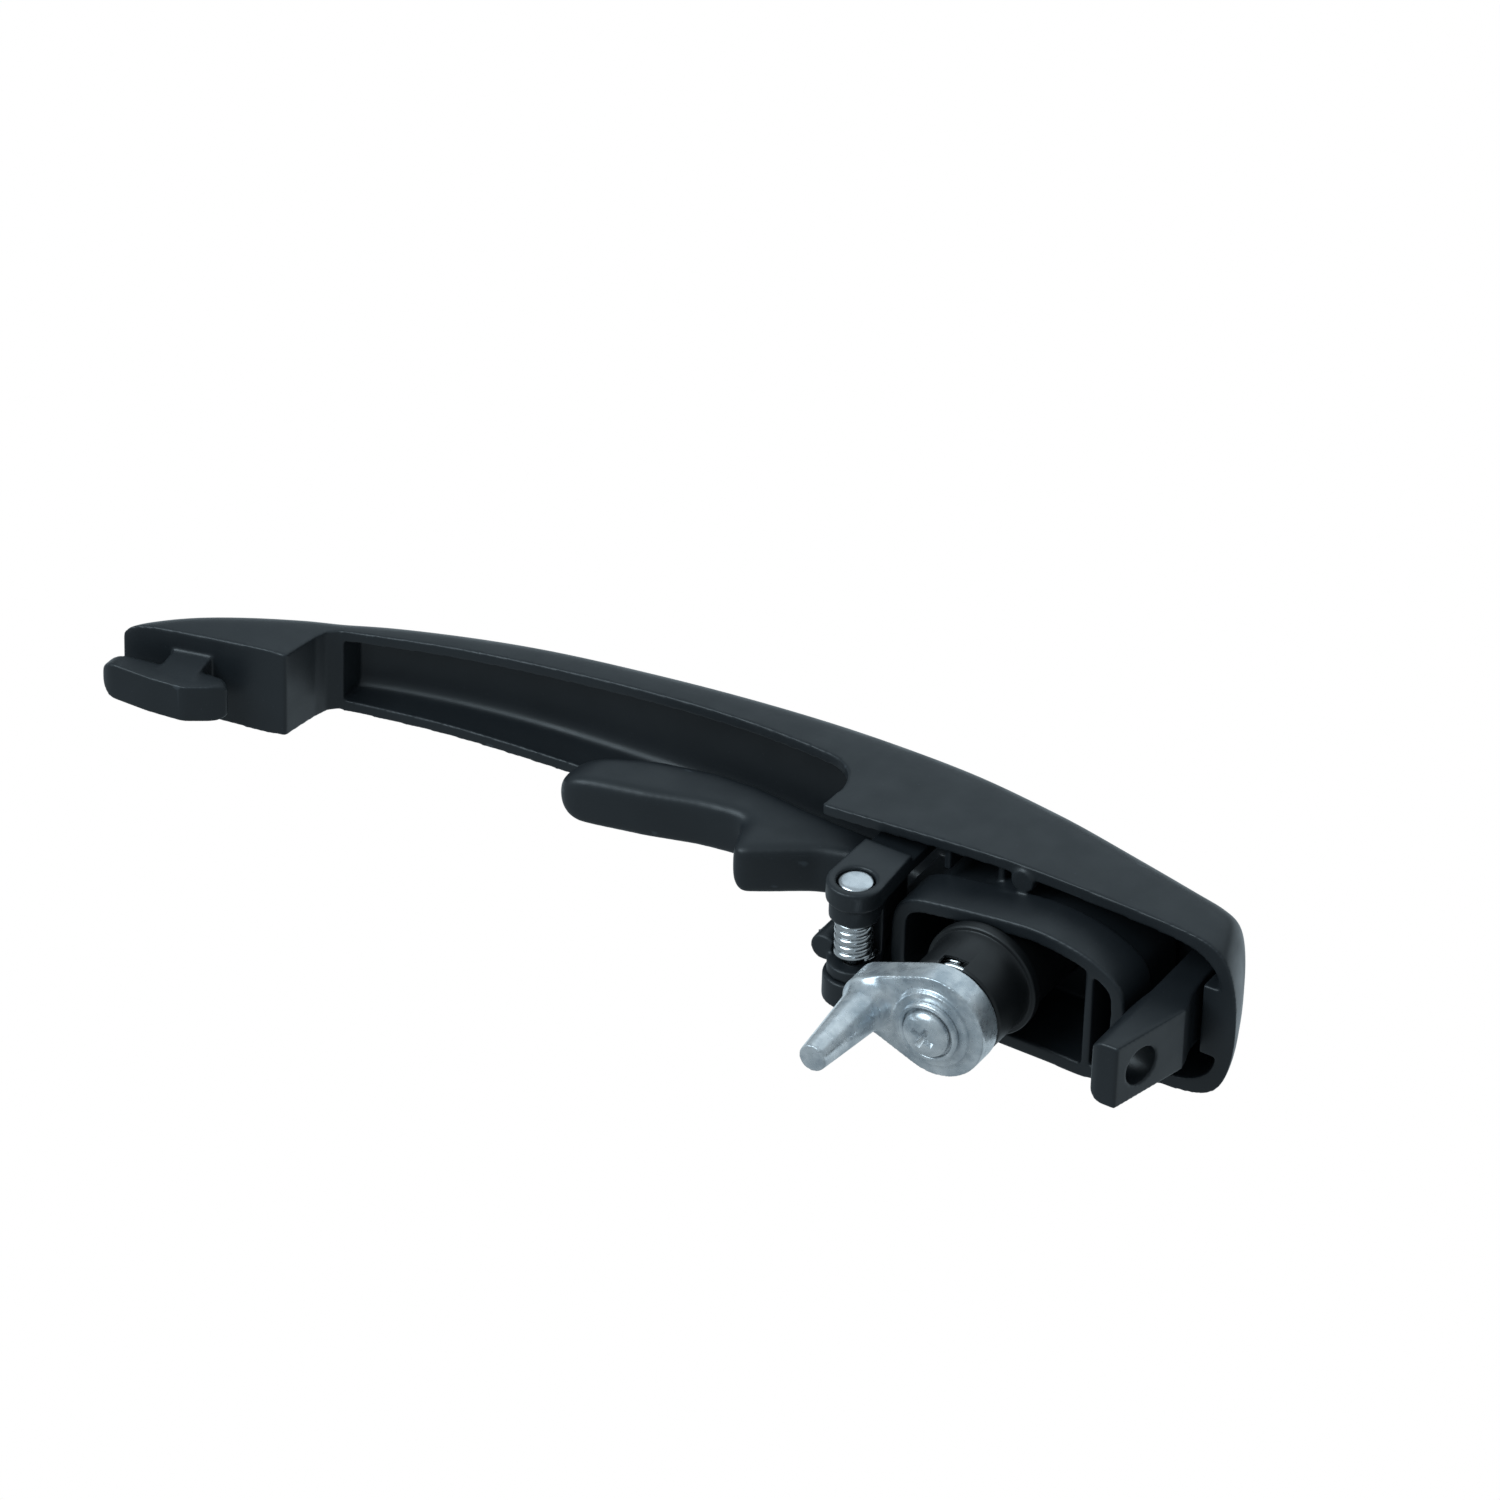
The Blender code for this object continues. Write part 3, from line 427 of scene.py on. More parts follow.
# ---------------------------------------------------------------- materials
class Paint:
    """A Principled material with helpers for the noise that varies it."""

    def __init__(self, name, metallic=0.0, roughness=0.4, specular=0.5):
        self.material = bpy.data.materials.new(name)
        self.material.use_nodes = True
        self.tree = self.material.node_tree
        self.shader = self.tree.nodes["Principled BSDF"]
        self.shader.inputs["Metallic"].default_value = metallic
        self.shader.inputs["Roughness"].default_value = roughness
        self.shader.inputs["Specular IOR Level"].default_value = specular
        self.place = self.tree.nodes.new("ShaderNodeTexCoord").outputs["Object"]

    def link(self, start, end):
        self.tree.links.new(start, end)

    def noise(self, scale, detail=3.0, roughness=0.5, stretch=None):
        node = self.tree.nodes.new("ShaderNodeTexNoise")
        node.inputs["Scale"].default_value = scale
        node.inputs["Detail"].default_value = detail
        node.inputs["Roughness"].default_value = roughness
        source = self.place
        if stretch:
            mapping = self.tree.nodes.new("ShaderNodeMapping")
            mapping.inputs["Scale"].default_value = stretch
            self.link(source, mapping.inputs["Vector"])
            source = mapping.outputs["Vector"]
        self.link(source, node.inputs["Vector"])
        return node.outputs["Fac"]

    def ramp(self, source, low, high, start=0.3, end=0.7):
        """Map a factor from start..end to colours or greys low..high."""
        node = self.tree.nodes.new("ShaderNodeValToRGB")
        for stop, position, value in zip(node.color_ramp.elements, (start, end), (low, high)):
            stop.position = position
            stop.color = (*value, 1.0) if isinstance(value, tuple) else (value, value, value, 1.0)
        self.link(source, node.inputs["Fac"])
        return node.outputs["Color"]

    def blend(self, factor, first, second):
        node = self.tree.nodes.new("ShaderNodeMix")
        node.data_type = "RGBA"
        self.link(factor, node.inputs["Factor"])
        for source, socket in ((first, node.inputs[6]), (second, node.inputs[7])):
            if isinstance(source, tuple):
                socket.default_value = (*source, 1.0)
            else:
                self.link(source, socket)
        return node.outputs[2]

    def edges(self, start=0.52, end=0.60):
        """White along convex edges, where a finish wears."""
        geometry = self.tree.nodes.new("ShaderNodeNewGeometry")
        return self.ramp(geometry.outputs["Pointiness"], 0.0, 1.0, start, end)

    def bump(self, height, strength, distance):
        node = self.tree.nodes.new("ShaderNodeBump")
        node.inputs["Strength"].default_value = strength
        node.inputs["Distance"].default_value = distance
        self.link(height, node.inputs["Height"])
        if self.shader.inputs["Normal"].is_linked:
            self.link(self.shader.inputs["Normal"].links[0].from_socket, node.inputs["Normal"])
        self.link(node.outputs["Normal"], self.shader.inputs["Normal"])

    def colour(self, source):
        self.link(source, self.shader.inputs["Base Color"])

    def rough(self, source):
        self.link(source, self.shader.inputs["Roughness"])


def satin_plastic(name, dark, light, worn, roughness=(0.36, 0.46), grain=0.10):
    """Moulded satin black: blue-grey tint, fine grain, faint rubbed edges and dust specks."""
    paint = Paint(name)
    cloudy = paint.ramp(paint.noise(90.0, 4.0), dark, light)
    specks = paint.ramp(paint.noise(1700.0, 1.0), 0.0, 0.6, 0.74, 0.80)
    dusty = paint.blend(specks, cloudy, worn)
    rubbed = paint.blend(paint.edges(), dusty, worn)
    paint.colour(rubbed)
    paint.rough(paint.ramp(paint.noise(160.0, 5.0), roughness[0], roughness[1]))
    paint.bump(paint.noise(4200.0, 2.0), grain, 0.00006)
    paint.bump(paint.noise(230.0, 2.0), 0.05, 0.0003)
    return paint.material


def satin_black():
    """The handle body."""
    return satin_plastic("satin_black", (0.0125, 0.0155, 0.0185), (0.0155, 0.0190, 0.0225),
                         (0.040, 0.047, 0.054))


def trigger_black():
    """The same plastic a little darker and duller."""
    return satin_plastic("trigger_black", (0.0120, 0.0150, 0.0180), (0.0150, 0.0185, 0.0220),
                         (0.036, 0.043, 0.050), roughness=(0.40, 0.50))


def barrel_black():
    """Near-black coating on the lock's housing."""
    return satin_plastic("barrel_black", (0.0080, 0.0088, 0.0098), (0.0105, 0.0115, 0.0125),
                         (0.030, 0.032, 0.035), roughness=(0.34, 0.46))


def zinc_plate():
    """Blue-white passivated zinc on a die casting: cloudy grey, with fine pits and soft scratches."""
    paint = Paint("zinc_plate", metallic=0.7, roughness=0.3)
    cloud = paint.ramp(paint.noise(140.0, 6.0, 0.6), (0.50, 0.55, 0.59), (0.96, 0.97, 0.98), 0.36, 0.62)
    stain = paint.ramp(paint.noise(420.0, 3.0), 0.0, 0.45, 0.50, 0.72)
    paint.colour(paint.blend(stain, cloud, (0.34, 0.39, 0.44)))
    paint.rough(paint.ramp(paint.noise(600.0, 5.0, 0.6), 0.20, 0.40))
    paint.bump(paint.noise(2400.0, 3.0), 0.16, 0.00008)
    paint.bump(paint.noise(260.0, 3.0), 0.10, 0.0004)
    return paint.material


def bright_steel():
    """Turned steel of the pins."""
    paint = Paint("bright_steel", metallic=1.0, roughness=0.2)
    paint.colour(paint.ramp(paint.noise(500.0, 4.0), (0.66, 0.69, 0.72), (0.80, 0.82, 0.84)))
    paint.rough(paint.ramp(paint.noise(900.0, 4.0), 0.18, 0.34))
    paint.bump(paint.noise(3200.0, 2.0), 0.08, 0.00005)
    return paint.material


def drawn_wire():
    """Bright drawn spring wire."""
    paint = Paint("drawn_wire", metallic=1.0, roughness=0.2)
    paint.colour(paint.ramp(paint.noise(700.0, 3.0), (0.62, 0.64, 0.65), (0.82, 0.83, 0.84)))
    paint.rough(paint.ramp(paint.noise(1500.0, 3.0), 0.14, 0.28))
    paint.bump(paint.noise(5200.0, 2.0), 0.08, 0.00004)
    return paint.material


def cast_zinc():
    """Bare grey casting of the plug."""
    paint = Paint("cast_zinc", metallic=1.0, roughness=0.35)
    paint.colour(paint.ramp(paint.noise(400.0, 4.0), (0.44, 0.45, 0.47), (0.60, 0.61, 0.62)))
    paint.rough(paint.ramp(paint.noise(800.0, 3.0), 0.30, 0.45))
    paint.bump(paint.noise(2600.0, 2.0), 0.10, 0.00006)
    return paint.material


def stamped_brass():
    """The wafers."""
    paint = Paint("stamped_brass", metallic=1.0, roughness=0.3)
    paint.colour(paint.ramp(paint.noise(600.0, 3.0), (0.60, 0.44, 0.18), (0.74, 0.57, 0.27)))
    paint.rough(paint.ramp(paint.noise(1200.0, 3.0), 0.24, 0.40))
    paint.bump(paint.noise(3000.0, 2.0), 0.08, 0.00005)
    return paint.material


def brushed_stainless():
    """Pressed sheet with a grain that runs one way."""
    paint = Paint("brushed_stainless", metallic=1.0, roughness=0.25)
    grain = paint.noise(900.0, 3.0, stretch=(1.0, 1.0, 14.0))
    paint.colour(paint.ramp(grain, (0.55, 0.56, 0.57), (0.70, 0.71, 0.72)))
    paint.rough(paint.ramp(grain, 0.20, 0.34))
    paint.bump(grain, 0.06, 0.00005)
    return paint.material


def seal_rubber():
    """Dull black rubber of the ring round the barrel."""
    paint = Paint("seal_rubber", roughness=0.7)
    paint.colour(paint.ramp(paint.noise(600.0, 3.0), (0.010, 0.010, 0.010), (0.018, 0.018, 0.018)))
    paint.rough(paint.ramp(paint.noise(900.0, 3.0), 0.6, 0.8))
    paint.bump(paint.noise(2800.0, 2.0), 0.15, 0.00008)
    return paint.material


# ---------------------------------------------------------------- handle body
def shell_section(x, inset, power, crown):
    """Closed (y, z) outline at x: flat on the door side, a rounded and crowned edge on the outer side."""
    half = smooth_line(HEIGHT_LINE, x + inset) - inset
    edge = smooth_line(OUTER_LINE, x + inset) - inset
    points = [(BLANK_Y, -half)]
    for angle in spaced(-90, 90, SECTION_POINTS):
        turn = math.radians(angle)
        out = abs(math.cos(turn)) ** (2 / power)
        up = abs(math.sin(turn)) ** (2 / power)
        points.append((edge - EDGE_RUN + (EDGE_RUN + crown) * out, math.copysign(half * up, angle)))
    points.append((BLANK_Y, half))
    return points


def loft(stations, sections):
    """A solid through a row of sections with the same number of points."""
    form = bmesh.new()
    rings = []
    for x, section in zip(stations, sections):
        rings.append([form.verts.new((x * MM, y * MM, z * MM)) for y, z in section])
    for ring, following in zip(rings, rings[1:]):
        total = len(ring)
        for i in range(total):
            ahead = (i + 1) % total
            form.faces.new((ring[i], ring[ahead], following[ahead], following[i]))
    form.faces.new(rings[0])
    form.faces.new(rings[-1])
    bmesh.ops.triangulate(form, faces=form.faces[:])
    return from_bmesh("shell", form)


def door_side_outline():
    """Everything on the door side of the foot, the grip and the rear seat, in plan."""
    front, rear, y = OUTSIDE
    grip = [(x, smooth_line(GRIP_LINE, x)) for x in spaced(-192, -93, 60)]
    corner = arc(THROAT_MIDDLE, THROAT_RADIUS, 84, 4, 24)
    seat = [(REAR_CORNER_X, 0.4), (REAR_CORNER_X + 0.4, 0.0), (rear, 0.0)]
    return FOOT_FACE + GRIP_CORNER + grip + corner + seat + [(rear, y), (front, y)]


def body_shell():
    """The crowned blank, trimmed to the plan outline and hollowed from the door side."""
    stations = spaced(FRONT_X - 0.6, -214, 24) + spaced(-213, -13, 150) + spaced(-12, REAR_X + 0.4, 28)
    blank = [shell_section(x, 0.0, EDGE_POWER, CROWN) for x in stations]
    body = cut(loft(stations, blank), plate(door_side_outline(), -30, 30))
    stations = spaced(HOLLOW_START, -13, 130) + spaced(-12, REAR_X - WALL, 24)
    hollow = [shell_section(x, WALL, HOLLOW_POWER, HOLLOW_CROWN) for x in stations]
    return cut(body, loft(stations, hollow))


def hook():
    """T-shaped hook: a tapered neck, and a head that lies along the foot's face."""
    head = plate(rounded(HOOK_HEAD, 1.2), -10, 10)
    start, end = HOOK_HEAD[0][0], HOOK_HEAD[6][0]
    half, corner = HOOK_HALF_HEIGHT, HOOK_CORNER
    profile = arc((start + half, HOOK_MIDDLE_Z), half, 90, 270, 25)
    profile += arc((end - corner, HOOK_MIDDLE_Z - half + corner), corner, 270, 360, 9)
    profile += arc((end - corner, HOOK_MIDDLE_Z + half - corner), corner, 0, 90, 9)
    head = overlap(head, plate(profile, -30, 0, plane="XZ"))
    ends = [(y, *NECK_X, half_height) for y, half_height in zip(NECK_Y, NECK_HALF_HEIGHT)]
    return join(head, tapered_box(*ends))


def add_ears(body):
    """Two ears that hold the pivot pin, each on a thinner root inside the shell."""
    left, right = PIVOT_X - 5.3, PIVOT_X + 4.6
    root = [(left + 0.1, -2.6), (right - 0.1, -2.6), (right - 0.1, 24.7), (left + 0.1, 26.2)]
    outline = arc(PIVOT, EAR_RADIUS, 180, 360, 40) + [(right, -2.0), (left, -2.0)]
    thin_upper = (UPPER_EAR_Z[0], UPPER_EAR_Z[1] - EAR_STEP)
    thin_lower = (LOWER_EAR_Z[0] + EAR_STEP, LOWER_EAR_Z[1])
    for ear, thin in ((UPPER_EAR_Z, thin_upper), (LOWER_EAR_Z, thin_lower)):
        body = join(body, plate(outline, *ear))
        body = join(body, plate(root, *thin))
    return body


def add_collar(body):
    """Frame round the lock that passes through the door skin, its tower inside the shell, and the boss."""
    front, back = COLLAR_Y
    outline = COLLAR_BOTTOM + COLLAR_TOP[::-1]
    tower = inset_outline(outline, TOWER_STEP)
    opening = inset_outline(outline, COLLAR_WALL + 0.6)
    body = join(body, plate(rounded(outline, COLLAR_ROUND), front, back, plane="XZ"))
    body = join(body, plate(rounded(tower, COLLAR_ROUND), back - 0.5, TOWER_END_Y, plane="XZ"))
    low, high = BOSS_Y
    body = join(body, cylinder(BOSS_RADIUS, high - low, (LOCK_X, (low + high) / 2, 0), "Y"))
    hollow = plate(rounded(opening, 2.0), front - 1, COLLAR_FLOOR_Y, plane="XZ")
    rib_low, rib_high = COLLAR_RIB_X
    rib = box((rib_low, front + 0.1, -16), (rib_high, COLLAR_FLOOR_Y + 0.1, 16))
    hollow = cut(hollow, rib)
    return cut(body, hollow)


def screw_block():
    """Block at the rear end whose leaning face takes the fixing screw."""
    lean = math.tan(BLOCK_TILT)
    face_x, face_y = SCREW_POINT
    left = [(-13.2, 15.3), (-13.2, -4.0), (-15.0, -12.0), (-15.0, -21.6), (-14.4, -22.9), (-13.2, -23.4)]
    face = [(face_x + lean * (y - face_y), y) for y in (-23.4, -6.5)]
    right = [(-5.4, -4.4), (-6.4, -1.5), (-6.8, 4.0), (-6.8, 13.2)]
    low, high = BLOCK_Z
    profile = arc((-11.6, high - BLOCK_ROUND), BLOCK_ROUND, 90, 180, 12)
    profile += arc((-11.6, low + BLOCK_ROUND), BLOCK_ROUND, 180, 270, 12)
    profile += [(4.0, low), (4.0, high)]
    return overlap(plate(left + face + right, -12, 12), plate(profile, -30, 30, plane="XZ"))


def add_rear_details(body):
    """Screw block, the ejector peg above the collar, the pad in the rear wall and the two tie ribs."""
    body = join(body, screw_block())
    body = join(body, cylinder(PEG_RADIUS, PEG_LENGTH, PEG_MIDDLE, "Y", sides=48))
    body = join(body, box(*REAR_PAD))
    half = TIE_RIB_HALF_WIDTH
    for x, low_y in TIE_RIBS:
        body = join(body, box((x - half, low_y, 10.5), (x + half, 12.0, 16.5)))
    return body


def screw_hole(radius, length, depth):
    """Cutter along the fixing screw's axis, which leans with the block's face."""
    tool = cylinder(radius, length, (0, 0, 0), "X", sides=64)
    inwards = Vector((-math.cos(BLOCK_TILT), math.sin(BLOCK_TILT), 0.0))
    middle = Vector((*SCREW_POINT, SCREW_HOLE_Z)) + inwards * (depth - length / 2)
    tool.data.transform(Matrix.Translation(middle * MM) @ Matrix.Rotation(-BLOCK_TILT, 4, "Z"))
    return tool


def bore_body(body):
    """Bores for the pin and its head, the barrel, the lock's outer face and the fixing screw."""
    body = cut(body, cylinder(PIN_SHAFT_RADIUS + 0.1, PAST, (*PIVOT, 0), sides=48))
    body = cut(body, cylinder(*PIN_HEAD_BORE, (*PIVOT, UPPER_EAR_Z[0] + 3.6), sides=64))
    body = cut(body, cylinder(BARREL_RADIUS + GAP, 60, (LOCK_X, 10, 0), "Y"))
    body = cut(body, cylinder(FACE_RECESS_RADIUS, 20, (LOCK_X, FACE_RECESS_Y + 10, 0), "Y"))
    return cut(body, screw_hole(SCREW_HOLE_RADIUS, 11.5, SCREW_HOLE_DEPTH))


def handle_body():
    """The one-piece handle, put together as in the CAD model and then moulded."""
    body = body_shell()
    body = add_ears(body)
    body = add_collar(body)
    body = add_rear_details(body)
    body = join(body, hook())
    body = bore_body(body)
    body = moulded("handle_moulding", body, voxel=0.28, rounds=10, keep=0.17)
    return place(body, "handle", "body_black", satin_black(), "handle_body")


# ---------------------------------------------------------------- trigger and pivot
def paddle():
    """The paddle, with a half-round free end, and the nose below it that meets the arm."""
    half = PADDLE_HALF_HEIGHT
    tip = arc((-133.3, -1.8), 4.7, 115, 262, 24)
    front = [(-120, -3.0), (-110, 0.2), (-103, 1.4), (-84.5, 2.0)]
    arm = [(PIVOT_X - 4.9, 3.2), (PIVOT_X - 4.6, PIVOT_Y + 2)]
    knuckle = arc(PIVOT, KNUCKLE_RADIUS, 170, 370, 32)
    right = [(PIVOT_X + 3.0, -8.0), (PIVOT_X + 1.0, 0.4), (PIVOT_X + 0.6, 4.0), (PIVOT_X - 1.5, 7.2)]
    back = [(PIVOT_X - 7, 9.4), (-92, 10.2), (-104, 11.6), (-113, 11.0), (-124, 8.2)]
    blade = plate(tip + front + arm + knuckle + right + back, -half, half)
    half_round = arc((0, 0), 1.0, 90, 270, 48)
    side = [(PADDLE_END_REACH * (1 + x) + PADDLE_FRONT_X, half * z) for x, z in half_round]
    side += [(PIVOT_X + 9, -half), (PIVOT_X + 9, half)]
    blade = overlap(blade, plate(side, -25, 20, plane="XZ"))
    nose = [(-101.4, 3.5), (-101.4, 0.0), (-100.0, -3.6)] + arc((-96.6, -6.2), 2.2, 170, 280, 12)
    nose += [(-84.5, -0.2), (PIVOT_X - 4.9, 3.2), (PIVOT_X - 4.9, 6.0)]
    side = arc((-97.6, half - 3.6), 3.6, 90, 180, 12) + arc((-94.8, 4.4 - half), 4.4, 180, 270, 16)
    side += [(PIVOT_X, -half), (PIVOT_X, half)]
    nose = overlap(plate(nose, -half, half), plate(side, -25, 20, plane="XZ"))
    return moulded("paddle", join(blade, nose), voxel=0.50, rounds=95)


def trigger():
    """Paddle and nose on an arm that ends in two knuckles round the pin."""
    lever = paddle()
    low, high = LOWER_EAR_Z[1] + GAP, UPPER_EAR_Z[0] - GAP
    cheek = arc(PIVOT, KNUCKLE_RADIUS, 180, 360, 32)
    cheek += [(PIVOT_X + 3.0, -8.0), (PIVOT_X + 1.0, -4.0), (PIVOT_X - 4.5, -4.0)]
    lever = join(lever, plate(cheek, low, high))
    spring_low, spring_high = SPRING_Z
    room_low = (PIVOT_X - 9, PIVOT_Y - 9, spring_low - GAP)
    room_high = (PIVOT_X + 9, PIVOT_Y + 4.2, spring_high + GAP)
    lever = cut(lever, box(room_low, room_high))
    stop = cylinder(STOP_RADIUS, 15.0, (PIVOT_X - 5.9, PIVOT_Y + 6.8, -3.9), "Y", sides=48)
    lever = join(lever, moulded("stop", stop, voxel=0.3, rounds=14))
    spring_room = spring_high - spring_low + 2 * GAP
    spring_middle = (*PIVOT, (spring_low + spring_high) / 2)
    lever = cut(lever, cylinder(SPRING_ROOM_RADIUS, spring_room, spring_middle))
    lever = cut(lever, cylinder(PIN_SHAFT_RADIUS + 0.15, PAST, (*PIVOT, 0), sides=48))
    lever = moulded("trigger_moulding", lever, voxel=0.26, rounds=4, keep=0.45)
    return place(lever, "trigger", "trigger_black", trigger_black(), "trigger")


def pivot_pin():
    """Rivet-like pin: a slightly crowned head, and a shaft with a rounded end."""
    low, top = node_span("pivot_pin", Z)
    head, shaft = PIN_HEAD_RADIUS, PIN_SHAFT_RADIUS
    crown = [(0, top), (1.6, top - 0.03), (2.6, top - 0.10), (3.0, top - 0.22)]
    edge = [(3.2, top - 0.42), (head, top - 0.75), (head, 10.3), (shaft, 10.3)]
    end = [(shaft, low + 0.5), (1.25, low + 0.1), (1.0, low), (0, low)]
    pin = turned("pivot_pin_fine", crown + edge + end, (*PIVOT, 0), "Z", 64)
    return place(crisp(pin, width=0.06), "handle", "bright_steel", bright_steel(), "pivot_pin")


def coil(centre, radius, start, end, turns, start_deg, per_turn):
    """Points of a helix along Z."""
    count = int(turns * per_turn) + 1
    route = []
    for i in range(count):
        part = i / (count - 1)
        turn = math.radians(start_deg) + part * turns * 2 * math.pi
        route.append((centre[0] + radius * math.cos(turn), centre[1] + radius * math.sin(turn),
                      start + (end - start) * part))
    return route


def trigger_spring():
    """Coil round the pin, with a short straight leg at its lower end."""
    low, high = SPRING_Z[0] + 0.8, SPRING_Z[1] - 0.8
    route = coil(PIVOT, SPRING_RADIUS, low, high, SPRING_TURNS, 0, 48)
    x, y, _ = route[0]
    leg = [(x, y + 3.0, low - 0.1), (x, y + 1.5, low - 0.05)]
    spring = wire("trigger_spring_fine", leg + route, SPRING_WIRE)
    return place(spring, "handle", "spring_steel", drawn_wire(), "trigger_spring")


# ---------------------------------------------------------------- lock
def lock_barrel():
    """Turned housing: a tube that flares into its flange, notched where the spring's end sits."""
    low, high = BARREL_Y
    outer, bore, rim = BARREL_RADIUS, BARREL_BORE, FLANGE_RADIUS
    flange_low, flange_high = FLANGE_Y
    room = low + SPRING_ROOM_DEPTH
    tube = [(bore, high), (outer - 0.4, high), (outer, high - 0.4), (outer, flange_high)]
    flange = [(rim - 0.3, flange_high), (rim, flange_high - 0.3), (rim, flange_low + 0.3),
              (rim - 0.25, flange_low)]
    turns = spaced(0.2, math.pi / 2, 8)
    flare = [(outer + 0.5 - 0.5 * math.sin(a), flange_low - 2.6 * (1 - math.cos(a))) for a in turns]
    end = [(outer, low + 0.5), (outer - 0.3, low), (SPRING_COUNTERBORE, low), (SPRING_COUNTERBORE, room),
           (bore, room)]
    barrel = turned("lock_barrel_fine", tube + flange + flare + end, (LOCK_X, 0, 0))
    barrel = cut(barrel, box((LOCK_X - 3, low - 1, 6), (LOCK_X + 2, low + 2.4, 12)))
    return place(crisp(barrel, width=0.12), "handle", "barrel_black", barrel_black(), "lock_barrel")


def centring_spring():
    """Coil in the barrel's inner end that turns the crank back to the middle."""
    low, high = node_span("centring_spring", Y)
    radius, thick = CENTRING_SPRING_RADIUS, CENTRING_SPRING_WIRE
    along_z = coil((0, 0), radius, high - thick, low + thick, 1.5, 90, 72)
    route = [(LOCK_X + x, y, z) for x, z, y in along_z]
    spring = wire("centring_spring_fine", route, thick)
    return place(spring, "handle", "spring_steel", drawn_wire(), "centring_spring")


def crank_fillet(outline):
    """The fillet from which the crank's pin grows, kept inside the plate's outline."""
    turns = spaced(0, 1.45, 10)
    curve = [(7.0 - 2.6 * math.sin(a), LEVER_FACE_Y + 0.1 - 3.2 * (1 - math.cos(a))) for a in turns]
    foot = [(0, LEVER_FACE_Y + 0.8), (7.0, LEVER_FACE_Y + 0.8)]
    cone = turned("pin_fillet", foot + curve + [(0, LEVER_FACE_Y - 3.0)], (CRANK_X, 0, 0))
    return overlap(cone, plate(outline, LEVER_FACE_Y - 8, LEVER_BACK_Y, plane="XZ"))


def lock_lever():
    """Die-cast crank: a plate with a tapered pin that grows out of it in a fillet, and a raised boss."""
    outline = arc((LOCK_X, 0), LEVER_RADIUS, -112, 112, 80)
    outline += arc((CRANK_X, 0), CRANK_END_RADIUS, 112, 248, 40)
    crank = plate(outline, LEVER_FACE_Y, LEVER_BACK_Y, plane="XZ")
    root_y = LEVER_FACE_Y + 1
    tip_radius, root_radius = CRANK_PIN_RADIUS
    pin_middle = (CRANK_X, (root_y + CRANK_TIP_Y) / 2, 0)
    crank = join(crank, cylinder(tip_radius, root_y - CRANK_TIP_Y, pin_middle, "Y", top_radius=root_radius))
    crank = join(crank, crank_fillet(outline))
    crank = join(crank, cylinder(CRANK_BOSS_RADIUS, 2.0, (LOCK_X, LEVER_FACE_Y, 0), "Y"))
    crank = cut(crank, cylinder(CRANK_BORE_RADIUS, 30, (LOCK_X, LEVER_FACE_Y, 0), "Y", sides=48))
    crank = moulded("lock_lever_fine", crank, voxel=0.22, rounds=8, keep=0.5)
    return place(crank, "lock_core", "zinc_plate", zinc_plate(), "lock_lever")


def lever_washer():
    """Dished ring with a rolled rim, which the screw's head sits in."""
    face = LEVER_FACE_Y - 1.05
    rim = [(5.45 + 0.5 * math.cos(a), face - 0.75 + 0.5 * math.sin(a)) for a in spaced(0, -math.pi, 14)]
    profile = [(2.5, face), (5.8, face), (5.95, face - 0.2)] + rim + [(4.9, face - 0.6), (2.5, face - 0.6)]
    ring = turned("lever_washer_fine", profile, (LOCK_X, 0, 0))
    ring.data.shade_smooth()
    ring.data.set_sharp_from_angle(angle=math.radians(50))
    return place(ring, "lock_core", "bright_steel", zinc_plate(), "lever_washer")


def recess_wing(head_y, turn):
    """Cutter for one bar of the screw's cross recess, narrower at its deep end."""
    wing = tapered_box((-0.4, -2.9, 2.9, 0.75), (2.6, -1.0, 1.0, 0.35))
    wing.data.transform(Matrix.Translation(Vector((LOCK_X, head_y, 0)) * MM)
                        @ Matrix.Rotation(math.radians(turn), 4, "Y"))
    return wing


def lever_screw():
    """Pan head with a tapered cross recess."""
    low, high = node_span("lever_screw", Y)
    seat = LEVER_FACE_Y - 1.95
    dome = [(0, low + 0.35), (1.5, low + 0.38), (2.8, low + 0.55), (3.7, low + 0.9), (4.25, low + 1.3)]
    rim = [(4.5, low + 1.65), (4.55, seat - 0.1), (4.5, seat)]
    shank = [(1.95, seat), (1.95, high - 0.4), (1.6, high), (0, high)]
    screw = turned("lever_screw_fine", dome + rim + shank, (LOCK_X, 0, 0), sides=96)
    for turn in (25, 115):
        screw = cut(screw, recess_wing(low, turn))
    return place(crisp(screw, width=0.10), "lock_core", "bright_steel", zinc_plate(), "lever_screw")


def keep_cad_nodes():
    """Nodes whose CAD shape is right keep it, and take a finer material."""
    sheet = brushed_stainless()
    finishes = {"lock_plug": cast_zinc(), "lock_face_cap": sheet, "keyway_shutter": sheet,
                "shutter_pin": bright_steel(), "barrel_seal": seal_rubber()}
    brass = stamped_brass()
    for name, node in frame["nodes"].items():
        paint = brass if name.startswith("wafer") else finishes.get(name)
        if paint:
            node.data.materials.clear()
            node.data.materials.append(paint)
            node.data.shade_smooth()
            node.data.set_sharp_from_angle(angle=math.radians(35))


# ---------------------------------------------------------------- studio
CAMERA_TARGET = Vector((-0.1153, 0.0265, -0.0005))
CAMERA_DISTANCE = 1.6575
CAMERA_LENS = 216.0
CAMERA_AZIMUTH, CAMERA_ELEVATION, CAMERA_ROLL = 30.5, 35.0, 2.0
FLOOR_Z = -0.075
FLOOR_HALF_SIZE = 6.0
FLOOR_GLOW = (0.34, 0.90)               # in front of the handle and behind it
FLOOR_GLOW_Y = (-0.02, 0.10)            # between which y the one turns into the other
ROOM_GLOW = 0.30
COOL_WHITE = (0.76, 0.91, 1.0, 1.0)     # colour of all the light that falls on the handle


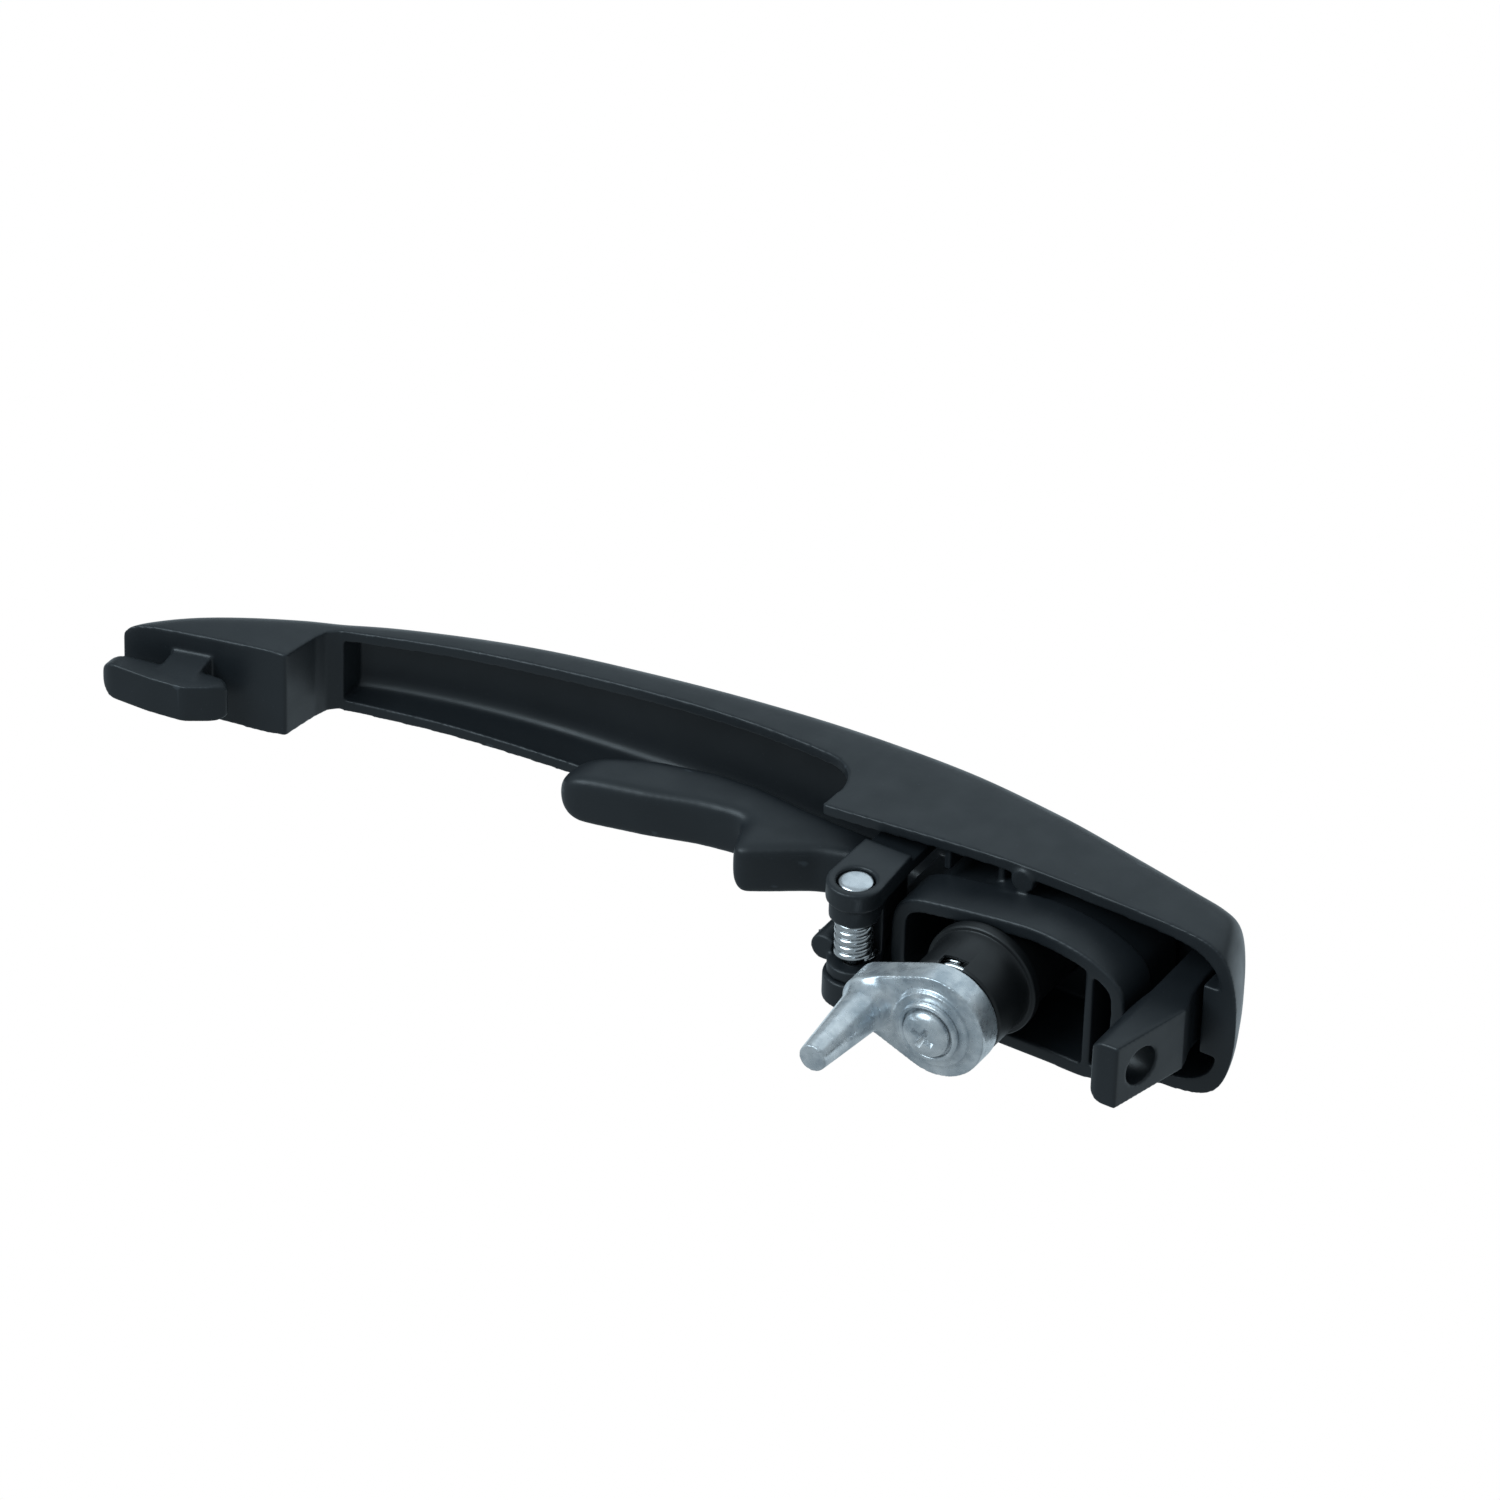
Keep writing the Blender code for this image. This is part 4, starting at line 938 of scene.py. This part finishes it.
def camera():
    """The camera of the photo, from its turn round the handle, its height, its roll and its distance."""
    azimuth, elevation, roll = (math.radians(a) for a in (CAMERA_AZIMUTH, CAMERA_ELEVATION, CAMERA_ROLL))
    back = Vector((math.sin(azimuth) * math.cos(elevation), -math.cos(azimuth) * math.cos(elevation),
                   math.sin(elevation)))
    level = Vector((math.cos(azimuth), math.sin(azimuth), 0.0))
    up = back.cross(level)
    right = level * math.cos(roll) + up * math.sin(roll)
    upward = up * math.cos(roll) - level * math.sin(roll)
    data = bpy.data.cameras.new("camera")
    data.sensor_width = 36.0
    data.lens = CAMERA_LENS
    data.clip_end = 20.0
    made = add_object("camera", data)
    turn = Matrix((right, upward, back)).transposed().to_4x4()
    made.matrix_world = Matrix.Translation(CAMERA_TARGET + back * CAMERA_DISTANCE) @ turn
    bpy.context.scene.camera = made


def area_light(name, place_m, target, size, power):
    data = bpy.data.lights.new(name, "AREA")
    data.shape = "RECTANGLE"
    data.size, data.size_y = size
    data.energy = power
    data.color = COOL_WHITE[:3]
    light = add_object(name, data)
    direction = Vector(target) - Vector(place_m)
    turn = direction.to_track_quat("-Z", "Y").to_matrix().to_4x4()
    light.matrix_world = Matrix.Translation(place_m) @ turn


def camera_ray_switch(tree, seen, unseen, target):
    """One shader where the camera looks straight at the studio, and another for the light it gives."""
    path = tree.nodes.new("ShaderNodeLightPath")
    mix = tree.nodes.new("ShaderNodeMixShader")
    tree.links.new(path.outputs["Is Camera Ray"], mix.inputs["Fac"])
    tree.links.new(unseen, mix.inputs[1])
    tree.links.new(seen, mix.inputs[2])
    tree.links.new(mix.outputs["Shader"], target)


def studio_world():
    """White paper to the camera, and a dim room to the object."""
    world = bpy.data.worlds.new("studio")
    world.use_nodes = True
    tree = world.node_tree
    seen = tree.nodes["Background"]
    seen.inputs["Strength"].default_value = 1.0
    seen.inputs["Color"].default_value = (1.0, 1.0, 1.0, 1.0)
    room = tree.nodes.new("ShaderNodeBackground")
    room.inputs["Color"].default_value = COOL_WHITE
    room.inputs["Strength"].default_value = ROOM_GLOW
    output = tree.nodes["World Output"].inputs["Surface"]
    camera_ray_switch(tree, seen.outputs["Background"], room.outputs["Background"], output)
    bpy.context.scene.world = world


def studio_floor():
    """Paper that the camera sees as white, and that glows more behind the handle than in front of it."""
    form = bmesh.new()
    bmesh.ops.create_grid(form, x_segments=1, y_segments=1, size=FLOOR_HALF_SIZE)
    form.transform(Matrix.Translation((0.0, 0.0, FLOOR_Z)))
    floor = from_bmesh("floor", form)
    paint = Paint("floor_white", roughness=0.9, specular=0.0)
    tree = paint.tree
    paper = tree.nodes.new("ShaderNodeEmission")
    glow = tree.nodes.new("ShaderNodeEmission")
    glow.inputs["Color"].default_value = COOL_WHITE
    split = tree.nodes.new("ShaderNodeSeparateXYZ")
    depth = tree.nodes.new("ShaderNodeMapRange")
    for end, y, strength in zip(("Min", "Max"), FLOOR_GLOW_Y, FLOOR_GLOW):
        depth.inputs[f"From {end}"].default_value = y
        depth.inputs[f"To {end}"].default_value = strength
    tree.links.new(paint.place, split.inputs["Vector"])
    tree.links.new(split.outputs["Y"], depth.inputs["Value"])
    tree.links.new(depth.outputs["Result"], glow.inputs["Strength"])
    output = tree.nodes["Material Output"].inputs["Surface"]
    camera_ray_switch(tree, paper.outputs["Emission"], glow.outputs["Emission"], output)
    floor.data.materials.append(paint.material)


def studio():
    """Soft box behind and above the handle, a wide weak one overhead, and a small key from the front."""
    studio_world()
    studio_floor()
    middle = (-0.11, 0.0, 0.0)
    area_light("back_softbox", (-0.10, 0.9, 0.75), middle, (1.6, 0.9), 2.6)
    area_light("overhead", (-0.1, -0.1, 1.0), middle, (1.2, 1.2), 1.0)
    area_light("front_key", (-0.55, -0.65, 0.78), middle, (0.8, 0.8), 8.0)
    bpy.context.scene.view_settings.view_transform = "Standard"


camera()
studio()
handle_body()
trigger()
pivot_pin()
trigger_spring()
lock_barrel()
centring_spring()
lock_lever()
lever_washer()
lever_screw()
keep_cad_nodes()
